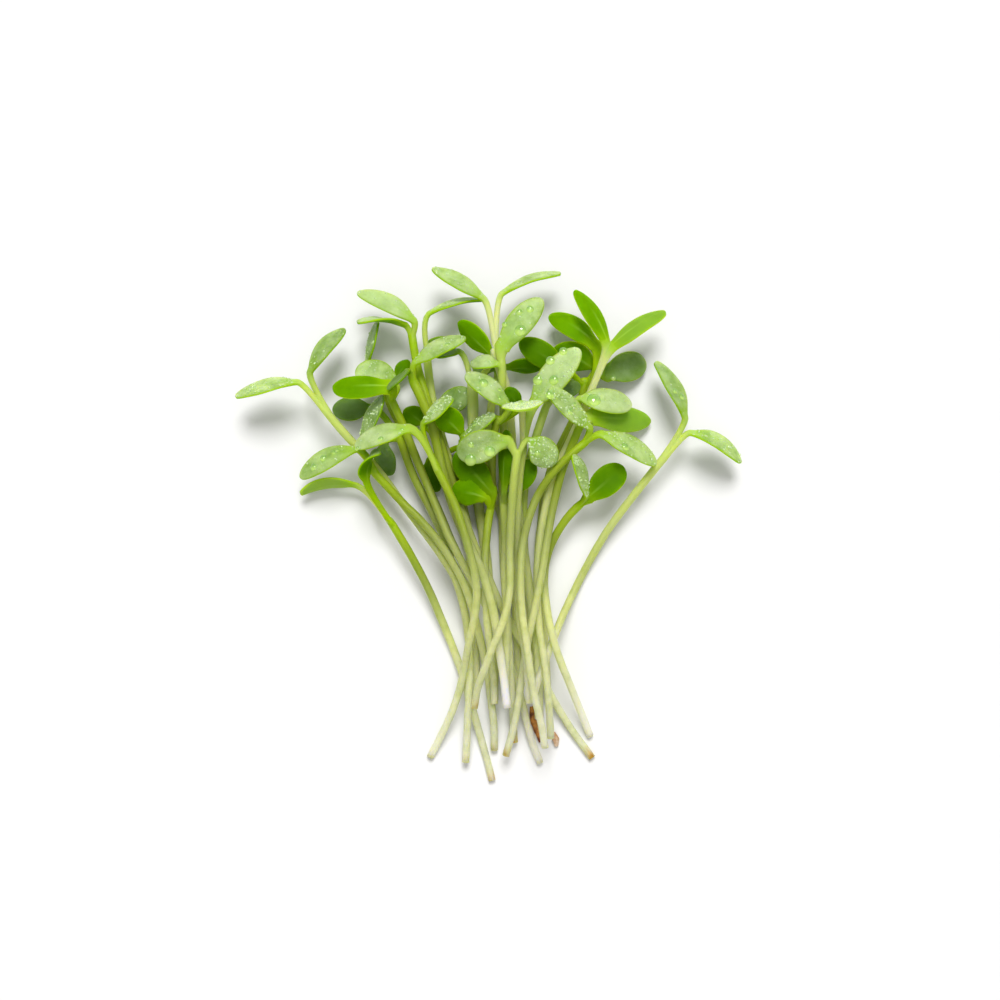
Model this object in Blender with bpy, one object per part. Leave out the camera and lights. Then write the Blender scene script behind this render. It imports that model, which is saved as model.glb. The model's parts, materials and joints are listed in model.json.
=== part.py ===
"""Chia microgreens: a small cut bunch of sprouts that lies on a table.

Each sprout is one solid: a tapering stem, two leaf stalks and two seed leaves.
The bunch is laid out as it is seen from straight above by an eye EYE_HEIGHT over
the table, and every point is then drawn in towards the eye's axis by its height.
"""
import math

import bmesh
import bpy
import numpy as np
from mathutils import Vector

# Driving sizes in millimetres
MM = 0.001
EYE_HEIGHT = 195.0
EYE_AXIS = np.array([1.4, 3.68])
STEM_WIDTH = 1.12
STALK_WIDTH = 0.78
BLADE_THICKNESS = 0.62
TIP_WIDTH = 0.6
RIB_THICKNESS = 0.72
GAP = 0.22

# How a stem bends over what it crosses, and how finely it is made
STEM_SPANS = 13
STEM_TAPER = (0.9, 1.04)
STEM_FLAT = 0.87
STEM_CURVATURE = 0.035
STALK_STATIONS = (0.0, 0.4, 0.75)
BLADE_STATIONS = (0.0, 0.12, 0.3, 0.5, 0.7, 0.88, 1.0)
SINK = 1.3
STALK_SPREAD = 0.22
STALK_STEPS = 40
FEELER_STEP = 0.4


def leaf(order, base, tip, width, turn, rise=0.6, bend=0.0, twist=0.0, cup=0.1, sweep=0.8, neck=1.2,
         taper=0.2):
    """One seed leaf: where its blade starts and ends, its width, and how it is turned.

    sweep is how far the stalk swings round to the blade, and neck is its width where it gets there.
    rise and bend arch the blade up and sideways, twist turns it further towards the tip, cup lifts
    its sides, and taper is the share of its width that it loses towards the tip.
    """
    return {
        "order": order, "base": base, "tip": tip, "width": width, "turn": turn,
        "rise": rise, "bend": bend, "twist": twist, "cup": cup, "sweep": sweep,
        "neck": neck, "taper": taper,
    }


def sprout(order, fork_height, stem, *leaves, width=STEM_WIDTH):
    """One sprout: its stem from the cut end up to the fork, and its two leaves."""
    return {
        "order": order, "fork_height": fork_height, "stem": stem,
        "leaves": leaves, "width": width,
    }


# The bunch, sprout by sprout: places are millimetres from the eye's axis as seen from
# above, heights are millimetres over the table, turns are degrees about the blade
SPROUTS = [
    sprout(16, 5.4,
           [(-4.8, -36.7), (-4.6, -32.5), (-4.4, -28.0), (-4.2, -23.5), (-4.4, -19.6),
            (-5.2, -14.5), (-6.5, -10.6), (-9.2, -6.4), (-14.0, 0.0), (-17.4, 4.6),
            (-20.7, 8.1), (-24.8, 12.9)],
           leaf(44.0, (-28.4, 16.5, 6.0), (-37.0, 14.4, 5.0), 3.9, 58, bend=-0.5, sweep=0.45, taper=0.34),
           leaf(44.1, (-26.6, 17.9, 5.6), (-21.7, 23.9, 4.6), 4.0, -50, bend=0.5, sweep=0.45, taper=0.34)),
    sprout(16.5, 4.6,
           [(-0.8, -35.0), (-0.9, -31.0), (-1.4, -27.0), (-2.0, -23.0), (-2.8, -19.4),
            (-3.9, -15.0), (-5.4, -11.0), (-7.9, -6.8), (-10.6, -3.4), (-13.7, -0.3),
            (-18.3, 4.6)],
           leaf(67.0, (-20.2, 7.1, 4.8), (-27.9, 3.1, 3.5), 3.9, 35, bend=-0.6, taper=0.28),
           leaf(40.5, (-19.4, 8.2, 6.4), (-16.5, 14.6, 3.6), 3.6, -55)),
    sprout(14, 4.0,
           [(-1.1, -39.3), (-2.2, -35.0), (-3.4, -30.8), (-4.8, -26.0), (-6.2, -21.7),
            (-8.4, -16.2), (-10.1, -12.3), (-12.5, -7.7), (-15.7, -2.4)],
           leaf(69.0, (-20.3, 2.1, 2.8), (-27.9, 0.8, 2.0), 3.8, 117, bend=-0.8, taper=0.34),
           leaf(68.0, (-18.7, 2.6, 4.6), (-16.8, 6.9, 5.6), 4.2, -150, bend=0.9, twist=90)),
    sprout(34, 7.0,
           [(-9.8, -36.0), (-8.4, -33.3), (-6.9, -30.1), (-5.5, -25.9), (-4.4, -20.3),
            (-3.3, -14.7), (-3.5, -10.5), (-4.5, -6.3), (-6.3, -0.7), (-9.3, 5.3)],
           leaf(70.0, (-12.9, 10.0, 8.4), (-20.2, 7.4, 6.4), 4.0, 42, bend=-0.4, neck=1.8),
           leaf(59.0, (-10.6, 10.9, 7.0), (-6.7, 14.4, 8.6), 3.9, -58)),
    sprout(17, 4.6,
           [(5.6, -36.8), (3.9, -31.9), (2.7, -26.6), (1.3, -22.4), (-0.4, -18.2),
            (-2.0, -14.7), (-3.9, -11.2), (-6.6, -6.4), (-8.2, -2.8), (-9.6, 0.7), (-12.3, 7.3),
            (-13.9, 11.2), (-15.7, 15.1)],
           leaf(42.0, (-15.5, 15.8, 7.6), (-23.4, 15.6, 6.8), 3.9, -150, bend=-0.2, neck=2.6, taper=0.06),
           leaf(41.0, (-14.5, 16.0, 3.6), (-20.2, 17.2, 3.2), 4.5, 15, rise=0.3, bend=-0.9, sweep=1.0,
                neck=0.9, taper=0.06)),
    sprout(12, 2.6,
           [(-6.8, -8.0), (-7.9, -5.2), (-9.2, -2.4), (-10.6, 0.4), (-11.9, 2.9), (-12.9, 5.4),
            (-13.8, 8.0), (-14.5, 9.6)],
           leaf(12.2, (-16.0, 8.1, 2.8), (-15.1, 3.6, 1.4), 3.3, 0, bend=-0.6, neck=0.9),
           leaf(12.1, (-18.2, 12.9, 1.6), (-23.4, 12.6, 0.4), 3.7, 4, rise=0.3)),
    sprout(11, 2.6,
           [(-5.0, -9.3), (-6.8, -5.6), (-8.4, -1.8), (-10.6, 3.1), (-12.3, 7.0), (-13.8, 10.2),
            (-15.4, 13.4), (-16.3, 16.6)],
           leaf(40.0, (-18.6, 19.2, 3.4), (-17.2, 24.9, 3.0), 3.7, -72),
           leaf(11.1, (-14.5, 17.2, 2.2), (-12.9, 19.5, 1.4), 2.2, 180)),
    sprout(18, 4.6,
           [(12.9, -36.1), (10.5, -32.9), (6.7, -26.6), (4.2, -21.7), (1.1, -16.8),
            (-1.7, -10.5), (-3.6, -6.3), (-5.0, -2.1), (-6.4, 2.1), (-8.0, 7.0), (-9.2, 11.2),
            (-10.5, 15.0), (-11.6, 18.9), (-12.2, 21.7), (-12.5, 24.1)],
           leaf(46.0, (-12.1, 25.1, 5.6), (-20.0, 29.0, 4.8), 3.6, 38, bend=-0.6, taper=0.34),
           leaf(45.0, (-13.3, 24.5, 4.4), (-20.0, 24.9, 4.0), 3.6, 112, bend=-0.5, twist=-45, neck=1.6)),
    sprout(33, 6.5,
           [(1.0, -29.1), (0.6, -25.5), (0.1, -22.0), (-0.4, -18.5), (-1.1, -14.8),
            (-2.0, -11.5), (-3.5, -7.8), (-5.6, -3.5), (-7.4, 1.7), (-8.7, 7.0), (-9.9, 11.9),
            (-11.5, 15.1), (-12.6, 17.5)],
           leaf(65.0, (-11.9, 19.2, 7.6), (-4.8, 22.7, 7.8), 4.0, -50, bend=0.4, taper=0.34),
           leaf(66.0, (-13.0, 18.0, 6.8), (-15.7, 15.5, 6.6), 3.4, 72), width=1.3),
    sprout(8.9, 3.8,
           [(-3.5, -28.3), (-3.3, -24.5), (-3.5, -20.0), (-3.8, -15.0), (-4.2, -9.0), (-4.3, -3.6),
            (-4.9, -1.7), (-6.2, 2.8), (-7.6, 7.0), (-8.7, 10.9), (-9.5, 14.3), (-10.0, 17.9),
            (-10.3, 21.0)],
           leaf(47.0, (-9.8, 26.2, 5.0), (-2.5, 28.0, 4.0), 3.4, -78, bend=0.5),
           leaf(19.1, (-10.2, 21.6, 3.4), (-7.3, 21.6, 2.2), 3.4, 50, bend=0.3, neck=0.9)),
    sprout(20, 4.4,
           [(5.5, -30.6), (5.3, -28.3), (5.4, -25.4), (5.4, -22.0), (5.0, -18.2), (4.1, -12.6),
            (3.3, -7.0), (2.5, -1.4), (1.8, 4.9), (1.4, 11.2), (0.8, 15.8), (-0.4, 19.6), (-1.0, 21.4)],
           leaf(48.0, (-2.3, 28.2, 6.0), (-9.5, 32.4, 5.0), 3.8, 52, bend=-0.25, sweep=0.45, taper=0.36),
           leaf(48.1, (0.3, 28.9, 5.4), (8.5, 31.7, 4.4), 3.6, -70, bend=0.6, sweep=0.45, neck=1.5,
                taper=0.34),
           width=1.4),
    sprout(21, 6.0,
           [(2.0, -33.9), (1.7, -28.0), (1.3, -21.0), (0.8, -14.0), (0.4, -7.0), (0.3, 0.0),
            (0.4, 6.3), (0.5, 11.9), (0.3, 16.0), (0.3, 19.6)],
           leaf(50.0, (0.3, 21.3, 6.6), (5.9, 28.1, 7.0), 4.2, -10, bend=0.3, neck=2.4),
           leaf(49.0, (-0.3, 19.0, 6.6), (-4.0, 19.2, 6.0), 3.4, 52, bend=-0.2)),
    sprout(6.5, 4.6,
           [(-0.9, -28.0), (-0.9, -24.5), (-0.9, -20.0), (-1.3, -15.0), (-1.8, -9.8), (-2.2, -5.6),
            (-3.1, 0.0), (-3.6, 5.6), (-3.8, 10.5), (-3.8, 14.7), (-3.9, 17.2)],
           leaf(19.2, (-5.9, 20.8, 5.6), (-9.1, 20.6, 4.8), 3.4, 60),
           leaf(6.6, (-1.2, 20.4, 4.4), (-5.8, 24.9, 4.0), 3.8, 145), width=1.5),
    sprout(22, 6.0,
           [(-1.0, -1.0), (-1.1, 2.1), (-1.0, 7.7), (-0.3, 11.9)],
           leaf(55.0, (1.2, 13.1, 8.0), (-4.8, 17.6, 7.6), 4.0, 38, bend=-0.3),
           leaf(22.1, (2.7, 13.2, 4.9), (0.9, 15.6, 3.6), 2.6, 170)),
    sprout(23, 5.4,
           [(-4.2, -0.3), (-4.5, 1.4), (-5.0, 4.4), (-5.2, 6.6), (-5.3, 8.5)],
           leaf(54.0, (-5.0, 9.0, 7.0), (-0.7, 12.0, 7.4), 3.8, -60),
           leaf(53.0, (-5.4, 9.4, 6.0), (-8.6, 12.6, 6.6), 4.2, 165)),
    sprout(24, 5.0,
           [(-0.8, -28.6), (-0.9, -25.0), (-1.3, -21.0), (-1.8, -17.0), (-2.0, -12.6),
            (-2.1, -8.4), (-1.7, -3.5), (-1.1, 0.0)],
           leaf(24.2, (-1.3, 1.2, 6.4), (-6.2, 6.6, 6.0), 4.4, 178, neck=2.0, taper=0.06),
           leaf(24.1, (-2.1, 0.4, 4.8), (-6.6, 1.1, 3.8), 4.0, 168, bend=-0.3, neck=2.0, taper=0.06)),
    sprout(21.2, 3.0,
           [(0.8, -27.5), (0.9, -21.0), (0.9, -16.0), (0.6, -10.0), (0.7, -4.9), (0.4, 0.8)],
           leaf(22.05, (0.6, 1.4, 3.2), (0.9, 9.8, 3.0), 3.4, 135),
           leaf(21.5, (1.8, 1.2, 3.4), (4.5, 5.5, 3.6), 4.0, 160)),
    sprout(35, 8.0,
           [(-3.6, -29.1), (-3.1, -26.3), (-2.2, -23.8), (-1.3, -21.3), (-0.1, -18.5),
            (0.9, -15.4), (1.4, -12.0), (1.4, -6.3), (1.7, 0.0), (2.1, 4.2), (2.5, 7.1)],
           leaf(61.0, (1.0, 8.1, 9.0), (-5.6, 5.9, 8.2), 4.8, -8, bend=-0.7, cup=0.3, neck=2.0, taper=0.06),
           leaf(60.0, (4.1, 8.4, 8.4), (6.7, 4.6, 7.0), 4.4, 0, bend=0.6, neck=0.9, taper=0.06)),
    sprout(28, 6.6,
           [(4.1, -28.4), (3.9, -25.0), (3.5, -21.0), (2.8, -16.8), (2.4, -11.2), (2.4, -5.6),
            (2.5, 0.0), (2.9, 4.9), (3.4, 8.1)],
           leaf(57.0, (4.7, 13.4, 8.2), (11.2, 21.1, 9.4), 4.8, -14, bend=0.3, neck=1.8, taper=0.28),
           leaf(58.0, (3.1, 13.6, 9.4), (3.2, 12.6, 13.2), 6.5, 0, rise=0.2, sweep=0.5)),
    sprout(27, 4.0,
           [(0.8, -35.8), (1.8, -32.2), (2.6, -28.0), (3.4, -22.4), (4.5, -16.8), (5.7, -11.0),
            (6.7, -4.9), (7.8, 0.7), (9.2, 5.6), (10.6, 8.8), (11.6, 11.4)],
           leaf(52.0, (11.1, 14.2, 5.6), (18.4, 13.2, 5.0), 4.1, -28, bend=0.2, neck=0.9, taper=0.12),
           leaf(27.1, (12.8, 11.6, 2.6), (21.0, 11.1, 0.9), 4.1, 170, neck=2.6)),
    sprout(26, 4.4,
           [(7.1, -33.3), (6.8, -28.0), (6.2, -22.4), (5.4, -16.8), (5.2, -10.5), (5.8, -4.2),
            (6.9, 1.4), (8.5, 5.6), (10.2, 9.1), (11.6, 12.3), (12.9, 15.7)],
           leaf(51.0, (14.9, 21.7, 6.0), (10.4, 29.3, 5.2), 3.6, -138, bend=-0.6, sweep=0.45, neck=1.8,
                taper=0.34),
           leaf(51.1, (15.4, 21.1, 6.0), (23.2, 26.3, 5.2), 3.9, 130, bend=0.5, sweep=0.45, neck=2.2,
                taper=0.34)),
    sprout(9, 2.4,
           [(6.7, -27.0), (6.5, -23.5), (6.2, -19.0), (5.6, -13.0), (5.3, -7.5), (5.7, -4.0), (6.6, 0.7),
            (8.1, 5.3), (9.9, 9.1), (11.6, 12.9), (12.9, 16.1), (13.8, 19.0)],
           leaf(10.1, (13.3, 21.6, 3.2), (6.9, 25.7, 2.6), 3.9, -150, bend=-0.6, neck=2.2),
           leaf(10.0, (14.8, 17.7, 2.2), (20.3, 19.4, 0.6), 4.4, -4, rise=0.4, neck=2.6, taper=0.06)),
    sprout(7, 1.8,
           [(5.3, -9.5), (5.5, -6.5), (5.7, -3.5), (6.2, 0.8), (7.4, 5.2), (9.2, 9.1), (10.9, 12.6),
            (11.6, 15.1), (11.8, 17.2)],
           leaf(8.5, (13.1, 18.5, 2.6), (7.3, 20.3, 2.4), 4.8, 162, bend=-0.6, neck=0.9),
           leaf(8.0, (8.9, 18.5, 1.4), (2.8, 22.3, 1.0), 4.0, 180)),
    sprout(25.5, 4.0,
           [(12.6, -33.0), (11.2, -29.4), (9.8, -25.9), (8.4, -22.4), (7.3, -18.9),
            (6.5, -14.7), (6.2, -10.5), (6.9, -6.9), (8.3, -4.1), (10.0, -1.8), (11.9, 0.0)],
           leaf(63.0, (12.3, 0.3, 5.2), (17.3, 4.6, 4.8), 4.3, 172, cup=-0.2, neck=2.0, taper=0.06),
           leaf(63.1, (12.1, 0.6, 5.6), (10.1, 6.3, 5.0), 3.8, 62, bend=-0.3)),
    sprout(25, 4.2,
           [(4.5, -28.2), (5.2, -25.6), (6.4, -22.4), (8.4, -17.1), (10.4, -12.7), (12.6, -8.4), (15.1, -4.2),
            (18.2, 0.0), (21.3, 3.9), (23.6, 6.7)],
           leaf(64.0, (25.9, 11.5, 5.0), (21.7, 19.3, 3.8), 3.8, 50, bend=-0.6, sweep=0.45, taper=0.36),
           leaf(64.1, (26.6, 9.4, 5.0), (33.7, 5.2, 3.6), 3.9, -58, bend=0.9, sweep=0.45, taper=0.34)),
    sprout(10.5, 5.4,
           [(4.5, -26.0), (4.4, -22.0), (4.3, -18.0), (3.8, -12.0), (3.4, -6.0), (3.3, -1.0), (3.6, 2.8),
            (4.5, 7.0), (5.7, 10.9), (6.7, 13.8)],
           leaf(10.7, (7.2, 15.2, 4.0), (9.6, 19.2, 3.4), 3.0, 180),
           leaf(10.6, (8.2, 15.0, 4.0), (11.1, 16.1, 2.8), 2.6, 0)),
    sprout(29, 5.6,
           [(6.3, -34.7), (5.8, -31.5), (5.0, -28.3), (4.4, -25.0), (3.9, -21.5), (3.3, -17.5),
            (2.9, -12.6), (3.1, -7.0), (3.8, -3.5), (4.8, -0.4), (6.3, 2.4), (8.5, 5.0),
            (10.6, 7.0), (12.6, 8.6)],
           leaf(62.0, (14.2, 9.2, 7.4), (21.8, 4.9, 5.8), 4.1, -40, bend=0.5, neck=1.5, taper=0.34),
           leaf(59.5, (12.5, 10.2, 7.6), (6.9, 15.7, 9.6), 3.4, 25)),
    sprout(5, 2.4,
           [(2.6, -25.5), (2.4, -20.0), (2.2, -15.0), (1.9, -9.0), (0.4, -3.0), (-0.8, 1.0),
            (-1.6, 6.3), (-1.4, 11.9), (-0.4, 17.0)],
           leaf(6.0, (1.0, 18.6, 2.8), (6.3, 18.8, 2.2), 3.6, -132),
           leaf(6.1, (-0.6, 18.3, 2.2), (-3.6, 18.0, 1.6), 3.2, 0, bend=-0.6, neck=0.9)),
    sprout(3, 2.6,
           [(-4.4, -7.2), (-5.4, -3.4), (-6.9, 1.4), (-8.3, 6.3), (-9.8, 10.4)],
           leaf(4.1, (-8.8, 12.4, 2.6), (-4.3, 15.3, 2.2), 3.8, 10),
           leaf(4.0, (-10.8, 10.8, 2.2), (-13.3, 12.6, 1.4), 3.4, 180)),
    sprout(1, 1.4,
           [(-3.9, -5.8), (-4.9, -2.6), (-5.9, 0.5), (-7.1, 4.5), (-8.1, 7.6)],
           leaf(2.0, (-9.8, 5.5, 1.4), (-8.5, 1.4, 0.8), 3.0, 180, bend=-0.6),
           leaf(2.1, (-5.2, 7.1, 1.4), (-6.3, 1.8, 0.8), 2.6, 180, bend=0.6, sweep=1.0, neck=0.9)),
]

# Dry seed coats among the cut ends: points along each, with its radius there
SEED_COATS = [
    ([(4.4, -28.9, 0.5), (4.65, -30.4, 0.6), (5.1, -32.0, 0.55), (5.7, -33.9, 0.4)],
     [0.24, 0.56, 0.44, 0.22]),
    ([(7.5, -32.5, 0.35), (7.75, -33.4, 0.5), (7.9, -34.5, 0.4)],
     [0.2, 0.48, 0.24]),
]


def along(points, count):
    """Reads a smooth curve through the points at equal steps of its length."""
    points = np.array(points, float)
    ends = np.vstack([2 * points[0] - points[1], points, 2 * points[-1] - points[-2]])
    fine = []
    for i in range(len(points) - 1):
        p0, p1, p2, p3 = ends[i:i + 4]
        for t in np.linspace(0, 1, 24, endpoint=False):
            fine.append(0.5 * (2 * p1 + (p2 - p0) * t + (2 * p0 - 5 * p1 + 4 * p2 - p3) * t ** 2
                               + (3 * p1 - p0 - 3 * p2 + p3) * t ** 3))
    fine.append(points[-1])
    fine = np.array(fine)
    run = np.concatenate([[0], np.cumsum(np.linalg.norm(np.diff(fine, axis=0), axis=1))])
    steps = np.linspace(0, run[-1], count)
    return np.column_stack([np.interp(steps, run, column) for column in fine.T]), steps


def along_radii(radii, count):
    """Reads the radii of a tapering tube at equal steps."""
    return np.interp(np.linspace(0, len(radii) - 1, count), range(len(radii)), radii)


def ease(x):
    """Rises smoothly from 0 to 1 as x goes from 0 to 1."""
    x = np.clip(x, 0, 1)
    return x * x * (3 - 2 * x)


def needed_heights(places, radii, laid):
    """The lowest height at which each place clears everything that is already laid."""
    need = np.full(len(places), -1e9)
    if not len(laid):
        return need
    reach = radii.max() + 1.2
    low, high = places.min(axis=0) - reach, places.max(axis=0) + reach
    near = laid[((laid[:, :2] > low) & (laid[:, :2] < high)).all(axis=1)]
    for k in range(len(places)):
        apart = ((near[:, :2] - places[k]) ** 2).sum(axis=1)
        clear = (near[:, 3] + radii[k] + GAP) ** 2 - apart
        under = clear > 0
        if under.any():
            need[k] = (near[under, 2] + np.sqrt(clear[under])).max()
    return need


def lay_stem(row, laid):
    """Stations of a stem, low at the cut end, rising to the fork and bent over what it crosses."""
    radius = row["width"] / 2
    plan, steps = along(row["stem"], STEM_SPANS + 1)
    rising = ease((steps / steps[-1] - 0.3) / 0.7)
    rest = radius * STEM_FLAT
    heights = rest + (row["fork_height"] - rest) * rising
    feelers = np.arange(0, steps[-1], FEELER_STEP)
    places = np.column_stack([np.interp(feelers, steps, column) for column in plan.T])
    need = needed_heights(places, np.full(len(feelers), radius), laid)
    sag = STEM_CURVATURE * (steps[1] / 2) ** 2
    for k, step in enumerate(steps):
        bent = need + sag - STEM_CURVATURE * (feelers - step) ** 2
        heights[k] = max(heights[k], bent.max())
    feeler_heights = np.interp(feelers, steps, heights)
    feeler_rows = np.column_stack([places, feeler_heights, np.full(len(feelers), radius)])
    return np.column_stack([plan, heights]), feeler_rows


def blade_half_width(t, width, neck, taper):
    """Half the width of an oblong blade, t from its base to its tip."""
    oblong = (1 - abs(1 - 2 * t ** 1.1) ** 2.2) ** (1 / 2.2)
    blade = width / 2 * oblong * (1 - 0.5 * (1 - t) ** 4) * (1 - taper * t ** 2)
    shoulder = neck / 2 * (1 - t) ** 1.5
    return (blade ** 3 + shoulder ** 3) ** (1 / 3)


def leaf_stations(row, stem, lift, stalk_ts=STALK_STATIONS, blade_ts=BLADE_STATIONS):
    """Centre, sideways and upward directions and half width at each station of a leaf."""
    base = np.array(row["base"], float) + [0, 0, lift[0]]
    tip = np.array(row["tip"], float) + [0, 0, lift[1]]
    run = tip - base
    flat = np.array([-run[1], run[0], 0.0])
    left = flat / np.linalg.norm(flat)
    up = np.array([0.0, 0.0, 1.0])
    bulge = row["bend"] * left + row["rise"] * up
    toward = stem[-1] - stem[-2]
    toward = toward / np.linalg.norm(toward)
    start = stem[-1] - SINK * toward
    ahead = (base - start) @ toward
    aside = base - start - toward * ahead
    apart = STALK_SPREAD * min(max(ahead / 4, 0), 1)
    start = start + aside * (apart / max(np.linalg.norm(aside), STALK_SPREAD))
    span = np.linalg.norm(base - start)
    leave = toward * span * 0.25
    arrive = run + 4 * bulge
    arrive = arrive / np.linalg.norm(arrive) * span * row["sweep"]

    def stalk_heading(u):
        return ((6 * u ** 2 - 6 * u) * start + (3 * u ** 2 - 4 * u + 1) * leave
                + (6 * u - 6 * u ** 2) * base + (3 * u ** 2 - 2 * u) * arrive)

    # The stalk's sides follow on from the blade's, so that it has no half turn
    flips = []
    flip, across = 1, np.cross(up, arrive)
    for u in np.linspace(1, 0, STALK_STEPS + 1):
        side = np.cross(up, stalk_heading(u))
        flip = -flip if side @ across < 0 else flip
        across = side
        flips.append(flip)
    stations = []
    for u in stalk_ts:
        centre = ((2 * u ** 3 - 3 * u ** 2 + 1) * start + (u ** 3 - 2 * u ** 2 + u) * leave
                  + (3 * u ** 2 - 2 * u ** 3) * base + (u ** 3 - u ** 2) * arrive)
        heading = stalk_heading(u)
        broadened = STALK_WIDTH + (row["neck"] - STALK_WIDTH) * u ** 2
        stations.append((u - 1, centre, heading, broadened / 2))
    for t in blade_ts:
        centre = base + run * t + 4 * t * (1 - t) * bulge
        heading = run + 4 * (1 - 2 * t) * bulge
        half = blade_half_width(t, row["width"], row["neck"], row["taper"])
        stations.append((t, centre, heading, half))
    framed = []
    for t, centre, heading, half in stations:
        heading = heading / np.linalg.norm(heading)
        side = np.cross(up, heading)
        side = side / max(np.linalg.norm(side), 1e-6)
        if t < 0:
            side = side * flips[round(-t * STALK_STEPS)]
        over = np.cross(heading, side)
        turn = math.radians(row["turn"] + row["twist"] * min(max(t, 0), 1))
        turned_side = side * math.cos(turn) + over * math.sin(turn)
        turned_over = over * math.cos(turn) - side * math.sin(turn)
        framed.append((t, centre, turned_side, turned_over, half))
    return framed


def leaf_feelers(row, stem, lift):
    """Points over a leaf, their radii, and how far each follows the blade's base and tip."""
    stalk = tuple(np.linspace(0.25, 0.95, 8))
    blade = tuple(np.linspace(0.0, 1.0, 22))
    points, radii, shares = [], [], []
    for t, centre, side, over, half in leaf_stations(row, stem, lift, stalk, blade):
        if t < 0:
            for reach in (-1, 0, 1):
                points.append(centre + side * reach * (half - STALK_WIDTH / 2))
                radii.append(STALK_WIDTH / 2)
                shares.append((float(ease(t + 1)), 0.0))
            continue
        for reach in np.linspace(-1, 1, 9):
            across = reach * max(half - BLADE_THICKNESS / 2, 0)
            points.append(centre + side * across + over * row["cup"] * abs(across))
            radii.append(RIB_THICKNESS / 2)
            shares.append((1 - t, t))
    return np.array(points), np.array(radii), np.array(shares)


def lay_leaf(row, stem, laid):
    """How far a leaf's base and tip are raised to clear everything that is already laid."""
    points, radii, shares = leaf_feelers(row, stem, (0.0, 0.0))
    need = np.maximum(needed_heights(points[:, :2], radii, laid), radii)
    short = need - points[:, 2]
    lift = np.zeros(2)
    for end in (0, 1):
        mostly = shares[:, end] > 0.5
        lift[end] = max((short[mostly] / shares[mostly].sum(axis=1)).max(), 0.0)
    left_over = short - shares @ lift
    firm = shares.sum(axis=1) > 0.5
    lift += max((left_over[firm] / shares[firm].sum(axis=1)).max(), 0.0)
    points, radii, shares = leaf_feelers(row, stem, lift)
    return lift, np.column_stack([points, radii])


def lay_bunch():
    """Lays stems and leaves in their order and returns the stems and leaf lifts."""
    turns = []
    for number, row in enumerate(SPROUTS):
        turns.append((row["order"], number, None))
        for side, blade in enumerate(row["leaves"]):
            turns.append((blade["order"], number, side))
    stems, lifts = {}, {}
    laid = np.array([(*point, radius, -1) for points, radii in SEED_COATS
                     for point, radius in zip(along(points, 12)[0], along_radii(radii, 12))])
    for _, number, side in sorted(turns, key=lambda turn: turn[0]):
        others = laid[laid[:, 4] != number][:, :4]
        if side is None:
            stems[number], feelers = lay_stem(SPROUTS[number], others)
        else:
            blade = SPROUTS[number]["leaves"][side]
            lifts[number, side], feelers = lay_leaf(blade, stems[number], others)
        owner = np.full((len(feelers), 1), float(number))
        laid = np.vstack([laid, np.hstack([feelers, owner])])
    return stems, lifts


def placed(point):
    """Real place in metres of a point that is given as the eye sees it."""
    closer = 1 - point[2] / EYE_HEIGHT
    x, y = EYE_AXIS + np.array(point[:2]) * closer
    return Vector((x, y, point[2])) * MM


def tube_object(name, points, radii):
    """A tapering tube along a curve, turned into a closed mesh."""
    curve = bpy.data.curves.new(name, "CURVE")
    curve.dimensions = "3D"
    curve.bevel_depth = MM
    curve.bevel_resolution = 1
    curve.use_fill_caps = True
    curve.render_resolution_u = 0
    line = curve.splines.new("POLY")
    line.points.add(len(points) - 1)
    for end, point, radius in zip(line.points, points, radii):
        end.co = (*placed(point), 1)
        end.radius = radius
    tube = bpy.data.objects.new(name + "_tube", curve)
    bpy.context.scene.collection.objects.link(tube)
    bpy.context.view_layer.update()
    evaluated = tube.evaluated_get(bpy.context.evaluated_depsgraph_get())
    mesh = bpy.data.meshes.new_from_object(evaluated)
    work = bmesh.new()
    work.from_mesh(mesh)
    bmesh.ops.remove_doubles(work, verts=work.verts, dist=1e-6)
    bmesh.ops.recalc_face_normals(work, faces=work.faces)
    work.to_mesh(mesh)
    work.free()
    body = bpy.data.objects.new(name, mesh)
    body.matrix_world = tube.matrix_world
    bpy.context.scene.collection.objects.link(body)
    bpy.data.objects.remove(tube)
    return body


def leaf_object(name, row, stem, lift):
    """A leaf as a loft of six-sided sections, from inside the stem to the blade's tip."""
    work = bmesh.new()
    rings = []
    for t, centre, side, over, half in leaf_stations(row, stem, lift):
        half = max(half, TIP_WIDTH / 2)
        opened = float(ease(min(max(t, 0.0) / 0.3, 1.0)))
        edge = 0.2 + (BLADE_THICKNESS / 2 - 0.2) * opened
        rib = STALK_WIDTH * 0.42 + (RIB_THICKNESS / 2 - STALK_WIDTH * 0.42) * opened
        raised = row["cup"] * half * opened
        outline = [(-half, raised + edge), (0.0, rib), (half, raised + edge),
                   (half, raised - edge), (0.0, -rib), (-half, raised - edge)]
        rings.append([work.verts.new(placed(centre + side * a + over * b)) for a, b in outline])
    for near, far in zip(rings, rings[1:]):
        for k in range(6):
            j = (k + 1) % 6
            if k in (0, 5, 3):
                work.faces.new((near[k], near[j], far[j]))
                work.faces.new((near[k], far[j], far[k]))
            else:
                work.faces.new((near[k], near[j], far[k]))
                work.faces.new((near[j], far[j], far[k]))
    for ring in (rings[0], rings[-1]):
        work.faces.new((ring[0], ring[1], ring[4], ring[5]))
        work.faces.new((ring[1], ring[2], ring[3], ring[4]))
    bmesh.ops.recalc_face_normals(work, faces=work.faces)
    mesh = bpy.data.meshes.new(name)
    work.to_mesh(mesh)
    work.free()
    return bpy.data.objects.new(name, mesh)


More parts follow.
